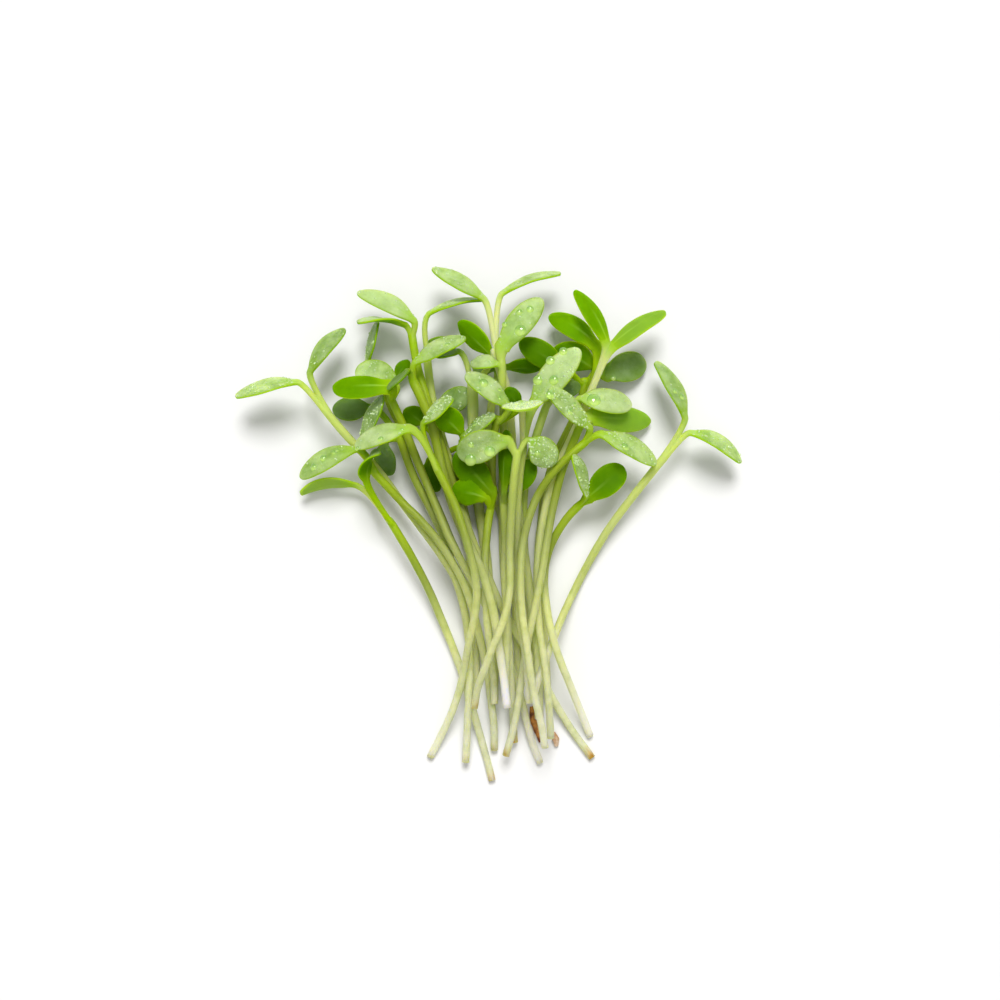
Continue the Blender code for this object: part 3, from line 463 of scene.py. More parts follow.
def lay_bunch():
    """Lays stems and leaves in their order and returns the stems and leaf lifts."""
    turns = []
    for number, row in enumerate(SPROUTS):
        turns.append((row["order"], number, None))
        for side, blade in enumerate(row["leaves"]):
            turns.append((blade["order"], number, side))
    stems, lifts = {}, {}
    laid = np.array([(*point, radius, -1) for points, radii in SEED_COATS
                     for point, radius in zip(along(points, COAT_FEELERS)[0],
                                              along_radii(radii, COAT_FEELERS))])
    for _, number, side in sorted(turns, key=lambda turn: turn[0]):
        others = laid[laid[:, 4] != number][:, :4]
        if side is None:
            stems[number], feelers = lay_stem(SPROUTS[number], others)
        else:
            blade = SPROUTS[number]["leaves"][side]
            lifts[number, side], feelers = lay_leaf(blade, stems[number], others)
        owner = np.full((len(feelers), 1), float(number))
        laid = np.vstack([laid, np.hstack([feelers, owner])])
    return stems, lifts


def placed(point):
    """Real place in metres of a point that is given as the eye sees it."""
    closer = 1 - point[2] / EYE_HEIGHT
    x, y = EYE_AXIS + np.array(point[:2]) * closer
    return Vector((x, y, point[2])) * MM


stems, lifts = lay_bunch()


# Tools for looks
def linear(hex_colour):
    """Turns an sRGB hex colour into linear RGB with full alpha."""
    parts = [int(hex_colour[i:i + 2], 16) / 255 for i in (1, 3, 5)]
    return (*[c / 12.92 if c <= 0.04045 else ((c + 0.055) / 1.055) ** 2.4 for c in parts], 1.0)


def new_look(name, inputs):
    """A new material with its shader's inputs set, its node tree and its shader."""
    made = bpy.data.materials.new(name)
    made.use_nodes = True
    shader = made.node_tree.nodes["Principled BSDF"]
    for socket, value in inputs.items():
        shader.inputs[socket].default_value = value
    return made, made.node_tree, shader


def add(tree, kind, inputs, **settings):
    """Adds a node with its settings, and fills or links its inputs."""
    made = tree.nodes.new(kind)
    for key, value in settings.items():
        setattr(made, key, value)
    for socket, value in inputs.items():
        if isinstance(value, bpy.types.NodeSocket):
            tree.links.new(value, made.inputs[socket])
        else:
            made.inputs[socket].default_value = value
    return made


def mixed(tree, factor, first, second):
    """A colour that goes from first to second as factor goes from 0 to 1."""
    first, second = [linear(c) if isinstance(c, str) else c for c in (first, second)]
    inputs = {"Factor": factor, "A": first, "B": second}
    return add(tree, "ShaderNodeMix", inputs, data_type="RGBA").outputs["Result"]


def ranged(tree, value, start=(0.0, 1.0), end=(0.0, 1.0), eased=False):
    """Carries value from the range start over to the range end, evenly or eased."""
    inputs = {"Value": value, "From Min": start[0], "From Max": start[1], "To Min": end[0],
              "To Max": end[1]}
    kind = "SMOOTHSTEP" if eased else "LINEAR"
    return add(tree, "ShaderNodeMapRange", inputs, interpolation_type=kind).outputs["Result"]


def product(tree, first, second):
    """The product of two values."""
    return add(tree, "ShaderNodeMath", {0: first, 1: second}, operation="MULTIPLY").outputs["Value"]


def grain(size):
    """Texture scale, per metre, of a pattern whose cells measure size millimetres."""
    return 1 / (size * MM)


def clouds(tree, place, size, detail, roughness=0.5):
    """Soft noise with cells of size millimetres."""
    inputs = {"Vector": place, "Scale": grain(size), "Detail": detail, "Roughness": roughness}
    return add(tree, "ShaderNodeTexNoise", inputs).outputs["Fac"]


# Seedling tissue
# One living skin runs from the cut end to the leaf tips: a watery, waxy tissue that lets light
# through. It is nearly white where the stem grew in the dark, and green where it met the light.
tissue, tree, skin = new_look("seedling_tissue", {
    "IOR": 1.4, "Subsurface Weight": 0.9, "Subsurface Radius": (0.85, 1.0, 0.14)})
growth = add(tree, "ShaderNodeAttribute", {}, attribute_name="growth")
grown = add(tree, "ShaderNodeSeparateColor", {"Color": growth.outputs["Color"]})
along_stem, leafiness, across = [grown.outputs[name] for name in ("Red", "Green", "Blue")]
upper = growth.outputs["Alpha"]
# This tag holds dried ends, bleached ends, painted shade, and paleness that is partly own tone and
# partly painted light
marks_and_painted_light = add(tree, "ShaderNodeAttribute", {}, attribute_name="marks_and_painted_light")
marks = add(tree, "ShaderNodeSeparateColor", {"Color": marks_and_painted_light.outputs["Color"]})
dried, bleached, painted_shade = [marks.outputs[name] for name in ("Red", "Green", "Blue")]
pale_and_lit = marks_and_painted_light.outputs["Alpha"]
place = add(tree, "ShaderNodeTexCoord", {}).outputs["Object"]

# Stem colours from the cut end up to the leaves. The stop at 0.36, where the stems cross at the
# waist, is lighter than its neighbours: painted light for the shaded waist
STEM_COLOURS = [
    (0.0, "#DDE0CA"), (0.1, "#CFD3B4"), (0.22, "#CACEA8"), (0.36, "#CFD596"), (0.46, "#B2BA7A"),
    (0.58, "#949E58"), (0.7, "#879732"), (0.88, "#92A81A"), (1.0, "#98BC0A"),
]
stem_node = add(tree, "ShaderNodeValToRGB", {"Fac": along_stem})
stem_ramp = stem_node.color_ramp
stem_ramp.elements.remove(stem_ramp.elements[1])
stem_ramp.elements[0].position = STEM_COLOURS[0][0]
stem_ramp.elements[0].color = linear(STEM_COLOURS[0][1])
for position, shade in STEM_COLOURS[1:]:
    stem_ramp.elements.new(position).color = linear(shade)
olive = ranged(tree, clouds(tree, place, 1.6, 3.0), (0.45, 0.7), (0.0, 0.35))
stem_colour = mixed(tree, olive, stem_node.outputs["Color"], "#8E9A3C")
# Paler stems: partly their own paler tone, partly painted light where they lie in shade
stem_colour = mixed(tree, pale_and_lit, stem_colour, "#DAE69A")
stem_colour = mixed(tree, bleached, stem_colour, "#FFFFE8")

# Leaf colours: bloomed grey-green above, clear strong green below, glowing at the stalk
patch = clouds(tree, place, 2.2, 4.0, roughness=0.6)
upper_green = mixed(tree, ranged(tree, patch, (0.36, 0.64)), "#88A650", "#B4CC88")
lower_green = mixed(tree, patch, "#4F7E00", "#74A600")
# Paler leaves: partly their own paler, frosted tone, partly painted light where they lie in shade
leaf_colour = mixed(tree, upper, mixed(tree, pale_and_lit, lower_green, "#A8C458"),
                    mixed(tree, pale_and_lit, upper_green, "#D3E6B4"))
rim = ranged(tree, across, (0.93, 1.0), (0.0, 0.8), eased=True)
leaf_colour = mixed(tree, rim, leaf_colour, "#9AC40E")
near_rib = ranged(tree, across, (0.16, 0.03), (0.0, 0.5), eased=True)
toward_base = ranged(tree, leafiness, (0.8, 0.35), eased=True)
leaf_colour = mixed(tree, product(tree, near_rib, toward_base), leaf_colour, "#A6CA54")
base_glow = ranged(tree, leafiness, (0.55, 0.3), (0.0, 0.75), eased=True)
leaf_colour = mixed(tree, base_glow, leaf_colour, "#98BE10")
is_leaf = ranged(tree, leafiness, (0.16, 0.36), eased=True)
colour = mixed(tree, is_leaf, stem_colour, leaf_colour)

# Fine dew: beads of a third of a millimetre, too many to model one by one, on the upper faces
beads = add(tree, "ShaderNodeTexVoronoi", {"Vector": place, "Scale": grain(0.34)})
bead = ranged(tree, beads.outputs["Distance"], (0.45, 0.05), eased=True)
wet = ranged(tree, clouds(tree, place, 2.4, 3.0), (0.48, 0.66))
dew_amount = product(tree, product(tree, product(tree, wet, upper), is_leaf), bead)
colour = mixed(tree, product(tree, dew_amount, 0.22), colour, "#E6F2D2")
colour = mixed(tree, dried, colour, "#B8802A")
# Painted shade: leaves that lie in shade or under others are painted towards dark green
colour = mixed(tree, painted_shade, colour, "#335A02")
surface = add(tree, "ShaderNodeMath", {0: clouds(tree, place, 0.35, 4.0), 1: 0.4, 2: dew_amount},
              operation="MULTIPLY_ADD")
relief = add(tree, "ShaderNodeBump", {"Height": surface.outputs["Value"], "Strength": 0.55,
                                      "Distance": 0.1 * MM})
for socket, value in (
        ("Base Color", colour),
        ("Normal", relief.outputs["Normal"]),
        ("Roughness", ranged(tree, dew_amount, end=(0.46, 0.14))),
        ("Specular IOR Level", ranged(tree, upper, end=(0.02, 0.3))),
        ("Subsurface Scale", ranged(tree, is_leaf, end=(3.0 * MM, 2.0 * MM)))):
    tree.links.new(value, skin.inputs[socket])

# Painted shade, by sprout and leaf: leaves that lie in shade or under others are painted darker
# green. Then which leaves and stems are paler, partly by their own paler tone and partly as painted
# light
PAINTED_SHADE = {
    (1, 1): 0.3, (2, 0): 0.08, (8, 0): 0.1, (24, 0): 0.4, (11, 0): 0.1, (2, 1): 0.4, (3, 1): 0.25,
    (6, 0): 0.75, (6, 1): 0.8, (7, 0): 0.4, (7, 1): 0.55, (9, 1): 0.65, (10, 1): 0.7, (13, 0): 0.4,
    (13, 1): 0.2, (14, 1): 0.7, (15, 0): 0.2, (16, 0): 0.55, (17, 0): 0.5, (17, 1): 0.5,
    (22, 1): 0.6, (25, 0): 0.25, (23, 0): 0.35, (23, 1): 0.5, (26, 0): 0.6, (26, 1): 0.6,
    (28, 0): 0.4, (28, 1): 0.6, (29, 0): 0.35, (29, 1): 0.45, (30, 0): 0.7, (30, 1): 0.8,
}
# Paleness of leaves and stems: partly their own paler tone, partly painted light where they lie in
# shade
PALE_AND_LIT_LEAVES = {
    (3, 0): 0.6, (21, 1): 0.3, (20, 1): 0.3, (19, 0): 0.3, (19, 1): 0.85, (20, 0): 0.25,
    (12, 1): 0.2, (4, 0): 0.15, (14, 0): 0.1, (8, 0): 0.25, (8, 1): 0.15,
}
PALE_AND_LIT_STEMS = {
    1: 0.45, 10: 0.4, 11: 1.0, 12: 0.3, 13: 0.5, 17: 0.3, 18: 0.3, 19: 0.3, 21: 0.9, 25: 0.55,
    26: 0.4, 28: 0.5,
}


# Skins
# Every vertex of a skin has a tag: how green its stem is there, leafiness, distance from the rib,
# upper side, then dried, bleached, painted shade, and paleness that is partly its own tone and
# partly painted light. Each is 0 for none and 1 for full.
def turns_round(count):
    """Equal turns round a ring, in radians."""
    return [2 * math.pi * j / count for j in range(count)]


def noise_at(*spot):
    """Smooth noise at a spot, from -1 to 1."""
    return noise.noise(Vector(spot))


def ring_frames(line):
    """Number, centre, sideways and upward direction of each ring along a line."""
    for k, centre in enumerate(line):
        heading = line[min(k + 1, len(line) - 1)] - line[max(k - 1, 0)]
        heading = heading / np.linalg.norm(heading)
        side = np.cross([0.0, 0.0, 1.0], heading)
        side = side / np.linalg.norm(side)
        yield k, centre, side, np.cross(heading, side)


def place_all(points):
    """Real places of points that are given as the eye sees them."""
    return [placed(point) for point in points]


def skin_mesh(name, rings, tags, first_centre, last_centre):
    """Closes a stack of rings into a solid skin, and returns it with the tags of its vertices."""
    work = bmesh.new()
    loops = [[work.verts.new(Vector(p)) for p in ring] for ring in rings]
    for near, far in zip(loops, loops[1:]):
        for k in range(len(near)):
            j = (k + 1) % len(near)
            work.faces.new((near[k], near[j], far[j], far[k]))
    for loop, centre in ((loops[0], first_centre), (loops[-1], last_centre)):
        hub = work.verts.new(Vector(centre))
        for k in range(len(loop)):
            work.faces.new((loop[k], loop[(k + 1) % len(loop)], hub))
    bmesh.ops.recalc_face_normals(work, faces=work.faces)
    mesh = bpy.data.meshes.new(name)
    work.to_mesh(mesh)
    work.free()
    flat = [tag for ring in tags for tag in ring] + [tags[0][0], tags[-1][0]]
    return mesh, flat


def finish_skin(mesh, look):
    """Shades a mesh smoothly and gives it its look."""
    mesh.polygons.foreach_set("use_smooth", [True] * len(mesh.polygons))
    mesh.materials.clear()
    mesh.materials.append(look)


def new_object(name, data):
    """A new object, linked into the scene."""
    made = bpy.data.objects.new(name, data)
    bpy.context.scene.collection.objects.link(made)
    return made


# Stems
# The hypocotyl: a juicy round stem a little over a millimetre thick, slightly wavy, snipped
# across at the bottom with scissors, where some ends have dried tan.
DRIED_ENDS = {1: 0.3, 2: 0.45, 3: 0.75, 4: 0.2, 5: 0.3, 8: 1.2, 12: 1.0, 18: 0.8, 20: 0.8}
BLEACHED = {1: 0.2, 4: 0.4, 5: 0.6, 9: 1.0, 24: 0.75, 27: 0.3, 19: 0.3, 25: 0.3}
GREENED = {26: 0.32}
STEM_RINGS = 64
STEM_SIDES = 14
USUAL_DRYNESS = 0.1
DRIED_LENGTH = 2.2
BLEACHED_LENGTH = 13
# Stems are green by how far up they reach from here, in the bunch and along themselves
GREEN_FROM = -39
GREEN_SPAN = 60
# The early stems are painted paler where they lie under the others, around the waist of the bunch:
# painted light, as if lit through the stems above
WAIST = (2, -15)
WAIST_HALF_SIZE = (6, 14)
UNDER_ORDER = 26
UNDER_SPAN = 14
# A pale stem is paler from this share of its length on, and fully so after the span
PALE_FROM = 0.4
PALE_SPAN = 0.35
UNEVENNESS = 0.05
CUT_HOLLOW = 0.12


def painted_glow_share(order, centre):
    """How much painted light a stem gets where it lies in the dark of the waist at a place, from 0
    to 1.
    """
    beside = abs(centre[0] - WAIST[0]) / WAIST_HALF_SIZE[0]
    lengthways = abs(centre[1] - WAIST[1]) / WAIST_HALF_SIZE[1]
    under = ease((UNDER_ORDER - order) / UNDER_SPAN)
    return float(under * ease(1.3 - lengthways) * ease(1.4 - beside))


def stem_skin(number, row, stem):
    """The stem's skin, a little uneven, with a slightly hollow cut face."""
    line, steps = along(stem, STEM_RINGS)
    rings, tags = [], []
    for k, centre, side, over in ring_frames(line):
        share = k / (len(line) - 1)
        greenness = (max((centre[1] - GREEN_FROM) / GREEN_SPAN, share ** 1.5)
                     + GREENED.get(number + 1, 0.0))
        radius = row["width"] / 2 * (STEM_TAPER[0] + (STEM_TAPER[1] - STEM_TAPER[0]) * share)
        paling = float(ease((share - PALE_FROM) / PALE_SPAN))
        # Paleness here is partly the stem's own tone and partly painted light for stems lying under
        # others at the waist
        pale_and_glow = max(PALE_AND_LIT_STEMS.get(number + 1, 0.0) * paling, painted_glow_share(row["order"], centre))
        ring, tag = [], []
        for turn in turns_round(STEM_SIDES):
            sideways, upward = math.cos(turn), math.sin(turn)
            uneven = 1 + UNEVENNESS * noise_at(steps[k] * 0.35, sideways + number * 7, upward)
            ring.append(centre + (side * sideways + over * upward) * radius * uneven)
            blotch = 0.6 + noise_at(steps[k] * 0.9, sideways * 1.5, upward * 1.5 + number)
            dry = (DRIED_ENDS.get(number + 1, USUAL_DRYNESS)
                   * (1 - float(ease(steps[k] / DRIED_LENGTH))) * max(blotch, 0.0))
            bleach = (BLEACHED.get(number + 1, 0.0)
                      * (1 - float(ease(steps[k] / BLEACHED_LENGTH))))
            tag.append((greenness, 0.0, 0.5, upward * 0.5 + 0.5, dry, bleach, 0.0, pale_and_glow))
        rings.append(place_all(ring))
        tags.append(tag)
    hollow = line[0] + (line[1] - line[0]) * CUT_HOLLOW
    return skin_mesh("stem", rings, tags, placed(hollow), placed(line[-1]))


# Seed leaves
# The cotyledons: a pair on short stalks, oblong and fleshy, with a shallow groove above the
# midrib, a rib below it, rounded rims and a soft wave along each side.
BLADE_RINGS = 34
STALK_RINGS = 10
BLADE_SIDES = 28
LAST_RING = 0.985
RIM_SOFTNESS = 0.62
# The round stalk flattens into the blade from a little before its base
OPENS_BEFORE = 0.08
OPENS_WITHIN = 0.38
HALF_THICKNESS = 0.46
GROOVE = 0.1
GROOVE_REACH = 0.32
RIB_SHARE = 0.6
SIDE_WAVE = 0.22
CUP_ROUNDING = 0.16
BASE_LEAFINESS = 0.3


def cup_rise(a):
    """How far a cupped blade rises, per unit of cup, at a millimetres from its rib."""
    return max(math.sqrt(a * a + CUP_ROUNDING) - math.sqrt(CUP_ROUNDING), 0.0)


def blade_skin(number, side_number, row, stem, lift):
    """A leaf's skin from inside the stem to the blade's tip."""
    stalk = tuple(np.linspace(0, 0.95, STALK_RINGS))
    blade = tuple(0.5 - 0.5 * np.cos(np.pi * np.linspace(0, LAST_RING, BLADE_RINGS)))
    # Painted shade of a leaf that lies in shade, and its paleness, partly its own tone and partly
    # painted light
    painted_darkening = PAINTED_SHADE.get((number + 1, side_number), 0.0)
    leaf_pale_and_lit = PALE_AND_LIT_LEAVES.get((number + 1, side_number), 0.0)
    rings, tags = [], []
    seed = number * 3.7 + side_number * 11.3
    for t, centre, side, over, half in leaf_stations(row, stem, lift, stalk, blade):
        opened = float(ease(min(max(t + OPENS_BEFORE, 0.0) / OPENS_WITHIN, 1.0)))
        thick = STALK_WIDTH / 2 * (1 - opened) + BLADE_THICKNESS * HALF_THICKNESS * opened
        thick = min(thick, half)
        leafiness = (BASE_LEAFINESS * (t + 1) if t < 0
                     else BASE_LEAFINESS + (1 - BASE_LEAFINESS) * t)
        painted_shade_here = painted_darkening * float(ease((t + 1) / 1.3))
        soft = max(leaf_pale_and_lit, PALE_AND_LIT_STEMS.get(number + 1, 0.0)) if t < 0.1 else leaf_pale_and_lit
        ring, tag = [], []
        for turn in turns_round(BLADE_SIDES):
            a = half * math.cos(turn)
            roundness = 1 - (1 - RIM_SOFTNESS) * opened
            rise = math.copysign(abs(math.sin(turn)) ** roundness, math.sin(turn))
            near_mid = math.exp(-(a / GROOVE_REACH) ** 2) * opened * (1 - max(t, 0)) ** 0.6
            b = thick * rise
            b += -GROOVE * near_mid if rise > 0 else -RIB_SHARE * GROOVE * near_mid
            b += row["cup"] * cup_rise(a) * opened
            sway = noise_at(t * 2.3, math.copysign(0.8, a), seed)
            b += SIDE_WAVE * sway * (a / max(half, 0.3)) ** 2 * opened
            ring.append(centre + side * a + over * b)
            upper_share = float(ease((rise - 0.2) / 0.6))
            tag.append((1.0, leafiness, abs(math.cos(turn)), upper_share, 0.0, 0.0, painted_shade_here, soft))
        rings.append(place_all(ring))
        tags.append(tag)
    start, last, tip = [sum(rings[k], Vector()) / BLADE_SIDES for k in (0, -2, -1)]
    return skin_mesh("leaf", rings, tags, start, tip + (tip - last) * 0.3)


# Whole sprouts
# A stem and its two leaves are one plant, so their skins are joined into one and the fork is
# smoothed over.
FORK_REACH = 1.1
FORK_ROUNDS = 3


def joined_skin(body, skins):
    """Joins the skins of a sprout to that of its stem, which the body carries."""
    pieces = bpy.data.collections.new("pieces")
    bpy.context.scene.collection.children.link(pieces)
    for mesh, _ in skins[1:]:
        pieces.objects.link(bpy.data.objects.new("blade", mesh))
    join = body.modifiers.new("join", "BOOLEAN")
    join.operation = "UNION"
    join.solver = "MANIFOLD"
    join.operand_type = "COLLECTION"
    join.collection = pieces
    bpy.context.view_layer.update()
    evaluated = body.evaluated_get(bpy.context.evaluated_depsgraph_get())
    mesh = bpy.data.meshes.new_from_object(evaluated)
    body.modifiers.clear()
    body.data = mesh
    for piece in list(pieces.objects):
        bpy.data.objects.remove(piece)
    bpy.data.collections.remove(pieces)
    return mesh


def joined_sprout(number, row):
    """One sprout's skin, with its tags carried over to the joined mesh."""
    skins = [stem_skin(number, row, stems[number])]
    for side, blade in enumerate(row["leaves"]):
        skins.append(blade_skin(number, side, blade, stems[number], lifts[number, side]))
    lookup = KDTree(sum(len(mesh.vertices) for mesh, _ in skins))
    all_tags = []
    for mesh, flat in skins:
        for vertex, tag in zip(mesh.vertices, flat):
            lookup.insert(vertex.co, len(all_tags))
            all_tags.append(tag)
    lookup.balance()
    body = new_object(f"fresh_sprout_{number + 1:02d}", skins[0][0])
    mesh = joined_skin(body, skins)
    fork = placed(stems[number][-1])
    work = bmesh.new()
    work.from_mesh(mesh)
    near = [v for v in work.verts if (v.co - fork).length < FORK_REACH * MM]
    for _ in range(FORK_ROUNDS):
        bmesh.ops.smooth_vert(work, verts=near, factor=0.5, use_axis_x=True, use_axis_y=True,
                              use_axis_z=True)
    work.to_mesh(mesh)
    work.free()
    growth_layer = mesh.attributes.new("growth", "FLOAT_COLOR", "POINT")
    marks_and_light_layer = mesh.attributes.new("marks_and_painted_light", "FLOAT_COLOR", "POINT")
    for index, vertex in enumerate(mesh.vertices):
        tag = all_tags[lookup.find(vertex.co)[1]]
        growth_layer.data[index].color = tag[:4]
        marks_and_light_layer.data[index].color = tag[4:]
    finish_skin(mesh, tissue)
    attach(body, "root")
    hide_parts(f"sprout_{number + 1:02d}")


for number, row in enumerate(SPROUTS):
    joined_sprout(number, row)


# Seed coats
# Two dry husks that stayed behind among the cut ends: brown, papery, ribbed lengthwise and dented.
HUSK_SIDES = 22
HUSK_RINGS = 30
HUSK_FLAT = 0.85
HUSK_RIBS = 5


def husk_look(name, dark, light):
    """Dry papery coat, stained from a dark to a light brown."""
    husk, tree, shell = new_look(name, {"Roughness": 0.62})
    place = add(tree, "ShaderNodeTexCoord", {}).outputs["Object"]
    stain = ranged(tree, clouds(tree, place, 1.9, 5.0, roughness=0.6), (0.4, 0.58))
    creases = clouds(tree, place, 0.3, 4.0)
    crumple = add(tree, "ShaderNodeBump", {"Height": creases, "Strength": 0.6,
                                           "Distance": 0.08 * MM})
    tree.links.new(mixed(tree, stain, dark, light), shell.inputs["Base Color"])
    tree.links.new(crumple.outputs["Normal"], shell.inputs["Normal"])
    return husk


husks = [husk_look("brown_seed_coat", "#6A3212", "#CE8A34"),
         husk_look("tan_seed_coat", "#B98A5A", "#EAD6BE")]
for number, (points, radii) in enumerate(SEED_COATS):
    line, steps = along(points, HUSK_RINGS)
    widths = along_radii(radii, HUSK_RINGS)
    rings = []
    for k, centre, side, over in ring_frames(line):
        ring = []
        for turn in turns_round(HUSK_SIDES):
            sideways, upward = math.cos(turn), math.sin(turn)
            rib = 1 + 0.07 * math.cos(HUSK_RIBS * turn + steps[k] * 0.6)
            dent = 1 + 0.22 * noise_at(steps[k] * 1.1, sideways * 1.2, upward * 1.2 + number)
            reach = widths[k] * rib * dent
            ring.append(centre + side * sideways * reach + over * upward * reach * HUSK_FLAT)
        rings.append(place_all(ring))
    mesh, _ = skin_mesh("husk", rings, [[0]] * len(rings), placed(line[0]), placed(line[-1]))
    finish_skin(mesh, husks[number])
    coat = new_object(f"husk_{number + 1}", mesh)
    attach(coat, "root")
    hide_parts(f"seed_coat_{number + 1}")


# Dew
# Clean water in beads on the waxy upper faces: small beads everywhere, and a few large drops
# that lie like lenses. The large drops carry painted light: bright yellow-green painted on their
# side away from the lamp, where a lens would gather light, and a painted dark green rim round their
# outline.
WATER_IOR = 1.38
water, tree, drop_shader = new_look("clear_water", {
    "Base Color": (1.0, 1.0, 1.0, 1.0), "Roughness": 0.03, "IOR": WATER_IOR,
    "Specular IOR Level": 1.0, "Transmission Weight": 0.5, "Coat Weight": 0.8,
    "Coat Roughness": 0.05})
# Painted light: the drops are painted bright on the side away from the lamp, and painted dark green
# round the outline
painted_caustic = add(tree, "ShaderNodeAttribute", {}, attribute_name="painted_caustic")
caustic_focus = ranged(tree, painted_caustic.outputs["Fac"], (0.25, 0.8), eased=True)
slant = add(tree, "ShaderNodeLayerWeight", {"Blend": 0.5})
painted_rim = ranged(tree, slant.outputs["Facing"], (0.55, 0.85), (0.0, 0.8))
drop_painted_colour = mixed(tree, painted_rim, mixed(tree, caustic_focus, "#9CC466", "#E6FF8E"), "#7DB010")
tree.links.new(drop_painted_colour, drop_shader.inputs["Base Color"])
mist = new_look("misted_dew", {
    "Base Color": linear("#D6E8B6"), "Roughness": 0.12, "IOR": WATER_IOR,
    "Specular IOR Level": 1.0, "Transmission Weight": 0.35})[0]

# Large drops: sprout, leaf, place as the eye sees it, radius
DROPS = [
    (2, 0, (-26.2, 4.6), 0.5), (2, 0, (-24.8, 5.9), 0.5), (2, 0, (-23.4, 6.6), 0.32),
    (2, 0, (-22.8, 7.0), 0.28), (4, 0, (-16.8, 8.5), 0.42), (4, 0, (-20.1, 7.2), 0.36),
    (4, 0, (-13.8, 9.8), 0.3), (2, 1, (-18.4, 9.6), 0.36), (9, 0, (-7.4, 21.8), 0.36),
    (12, 0, (4.2, 26.7), 0.5), (12, 0, (2.7, 26.3), 0.42), (12, 0, (0.6, 24.6), 0.4),
    (12, 0, (2.9, 23.8), 0.8), (14, 0, (-2.2, 16.4), 0.62), (14, 0, (-3.2, 15.1), 0.26),
    (14, 0, (0.0, 15.4), 0.22), (14, 0, (0.0, 14.3), 0.26), (15, 0, (-3.5, 10.6), 0.4),
    (18, 0, (-1.4, 6.7), 0.75), (18, 0, (-4.2, 5.6), 0.82), (18, 0, (-4.1, 7.7), 0.42),
    (18, 1, (5.3, 6.6), 0.4), (19, 0, (6.9, 19.5), 0.62), (19, 0, (8.8, 21.0), 0.55),
    (19, 0, (5.2, 16.7), 0.66), (19, 0, (7.6, 16.8), 0.66), (27, 1, (7.1, 14.7), 0.6),
    (27, 1, (9.8, 12.3), 0.42), (27, 1, (10.5, 13.3), 0.28), (27, 0, (17.5, 7.4), 0.55),
    (20, 0, (13.2, 14.0), 0.95), (25, 0, (24.5, 15.3), 0.42), (25, 0, (25.5, 14.4), 0.48),
    (22, 1, (15.8, 17.1), 0.4),
]
# How many small beads lie on a leaf, where it isn't the usual number
BEADS_PER_LEAF = 14
FROSTED = {
    (4, 1): 110, (19, 1): 150, (27, 1): 110, (18, 1): 100, (3, 1): 60, (9, 1): 70, (24, 1): 60,
    (8, 1): 70, (11, 0): 40, (25, 1): 50, (1, 0): 50, (2, 1): 80, (5, 1): 60, (15, 0): 60,
    (19, 0): 60, (27, 0): 60, (7, 0): 50, (9, 0): 50, (22, 1): 30,
}
# Small beads: their least radius, and how much larger they may be
BEAD_RADIUS = 0.06
BEAD_GROWTH = 0.13
# Leaves with more painted shade than this, or turned over between these turns, carry no small beads
BEADLESS_SHADE = 0.5
TURNED_OVER = (100, 260)
DROP_FLATNESS = 0.62
BEAD_FLATNESS = 0.8
SUNK_FLATNESS = 0.35
LAMP_HEIGHT_ANGLE = math.radians(55)
toward_lamp = Vector((0.03, math.cos(LAMP_HEIGHT_ANGLE), math.sin(LAMP_HEIGHT_ANGLE)))


def upper_points(row, stem, lift):
    """Places and upward directions over the upper face of a leaf."""
    found = []
    blade = tuple(np.linspace(0.04, 0.96, 40))
    for _, centre, side, over, half in leaf_stations(row, stem, lift, (), blade):
        for share in np.linspace(-0.86, 0.86, 21):
            a = half * share
            b = BLADE_THICKNESS * HALF_THICKNESS * (1 - share ** 2) ** 0.3
            b += row["cup"] * cup_rise(a)
            found.append((centre + side * a + over * b, over))
    return found


def bead_piece(name, beads, flatness, subdivisions, look):
    """One piece made of many beads of water, each pressed a little into the face it sits on."""
    work = bmesh.new()
    bmesh.ops.create_icosphere(work, subdivisions=subdivisions, radius=1.0)
    ball = [vertex.co.copy() for vertex in work.verts]
    sides = [[vertex.index for vertex in face.verts] for face in work.faces]
    work.free()
    # Painted light: each drop's vertices are tagged by how far they face away from the lamp, to
    # paint them brighter there
    lamp_side = Vector((toward_lamp.x, toward_lamp.y, 0)).normalized()
    vertices, faces, painted_caustics = [], [], []
    for spot, over, radius in beads:
        turn = Vector(over).normalized().to_track_quat("Z", "Y").to_matrix()
        base, first = placed(spot), len(vertices)
        for co in ball:
            low = Vector((co.x, co.y, co.z * (flatness if co.z > 0 else SUNK_FLATNESS)))
            vertices.append(turn @ low * (radius * MM) + base)
            painted_caustics.append(0.5 - 0.5 * (turn @ co).dot(lamp_side))
        faces.extend([[first + index for index in side] for side in sides])
    mesh = bpy.data.meshes.new(name)
    mesh.from_pydata(vertices, [], faces)
    mesh.attributes.new("painted_caustic", "FLOAT", "POINT").data.foreach_set("value", painted_caustics)
    finish_skin(mesh, look)
    piece = new_object(name, mesh)
    piece.visible_shadow = False
    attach(piece, "root")


draws = random.Random(7)
drops, dew = [], []
for sprout_number, leaf_number, seen, radius in DROPS:
    row = SPROUTS[sprout_number - 1]["leaves"][leaf_number]
    spots = upper_points(row, stems[sprout_number - 1], lifts[sprout_number - 1, leaf_number])
    spot, over = min(spots, key=lambda s: (s[0][0] - seen[0]) ** 2 + (s[0][1] - seen[1]) ** 2)
    drops.append((spot, over, radius))
for number, row in enumerate(SPROUTS):
    for side, blade in enumerate(row["leaves"]):
        if PAINTED_SHADE.get((number + 1, side), 0.0) > BEADLESS_SHADE:
            continue
        if TURNED_OVER[0] < blade["turn"] % 360 < TURNED_OVER[1]:
            continue
        spots = upper_points(blade, stems[number], lifts[number, side])
        for spot, over in draws.sample(spots, FROSTED.get((number + 1, side), BEADS_PER_LEAF)):
            dew.append((spot, over, BEAD_RADIUS + BEAD_GROWTH * draws.random() ** 2))
bead_piece("water_drops", drops, DROP_FLATNESS, 4, water)
bead_piece("fine_dew", dew, BEAD_FLATNESS, 2, mist)


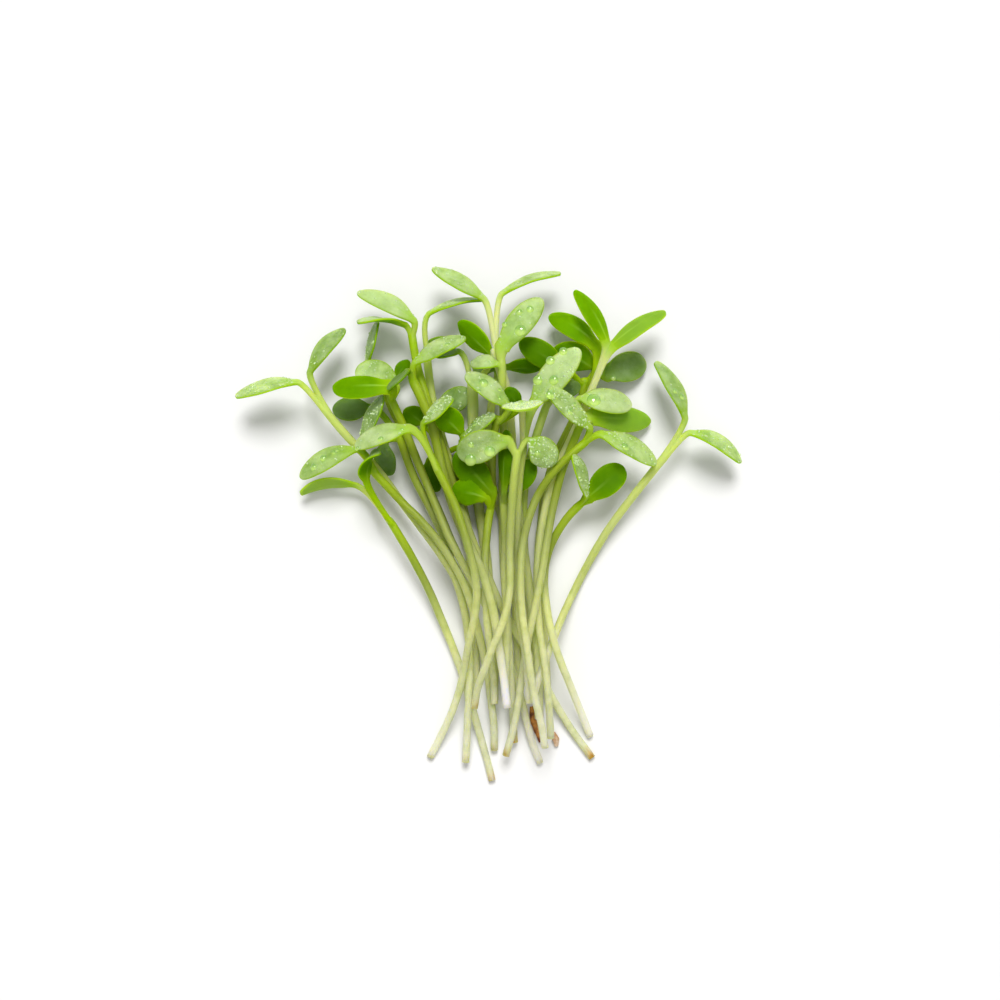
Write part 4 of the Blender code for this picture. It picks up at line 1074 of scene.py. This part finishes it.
# Table and light
# A white laminate table top under one broad soft lamp beyond the leaves. A panel overhead, a low
# card at the cut ends and light from all round fill the shade.
TABLE_HALF_SIZE = 0.6
TABLE_GREY = 0.86


def far_lamp(name, energy, spread, direction):
    """A lamp far off in a direction, as wide as spread in degrees."""
    lamp = bpy.data.lights.new(name, "SUN")
    lamp.energy = energy
    lamp.angle = math.radians(spread)
    new_object(name, lamp).rotation_euler = direction.to_track_quat("Z", "Y").to_euler()
    return lamp


table_paint = new_look("white_laminate", {
    "Base Color": (TABLE_GREY, TABLE_GREY, TABLE_GREY, 1.0), "Roughness": 0.7})[0]
work = bmesh.new()
bmesh.ops.create_grid(work, x_segments=1, y_segments=1, size=TABLE_HALF_SIZE)
mesh = bpy.data.meshes.new("table_top")
work.to_mesh(mesh)
work.free()
mesh.materials.append(table_paint)
table_top = new_object("table_top", mesh)

far_lamp("soft_lamp", 2.6, 25, toward_lamp).color = (1.0, 0.99, 1.0)
far_lamp("overhead_panel", 0.68, 70, Vector((0.0, 0.0, 1.0)))
far_lamp("low_white_card", 0.32, 60, Vector((0.0, -1.0, 0.6)))
sky = bpy.data.worlds.new("soft_room")
sky.use_nodes = True
sky.node_tree.nodes["Background"].inputs["Color"].default_value = (1.0, 1.0, 0.9, 1.0)
sky.node_tree.nodes["Background"].inputs["Strength"].default_value = 0.26
bpy.context.scene.world = sky
bpy.context.scene.view_settings.view_transform = "Standard"

# Camera
# It looks straight down on the bunch from EYE_HEIGHT, and its frame spans VIEW_WIDTH of the table.
VIEW_WIDTH = 140.0
SENSOR_WIDTH = 36.0
lens = bpy.data.cameras.new("camera")
lens.sensor_width = SENSOR_WIDTH
lens.sensor_fit = "HORIZONTAL"
lens.lens = SENSOR_WIDTH * EYE_HEIGHT / VIEW_WIDTH
lens.clip_start = 0.01
lens.clip_end = 10
camera = new_object("camera", lens)
camera.location = (EYE_AXIS[0] * MM, EYE_AXIS[1] * MM, EYE_HEIGHT * MM)
bpy.context.scene.camera = camera

bpy.context.view_layer.update()
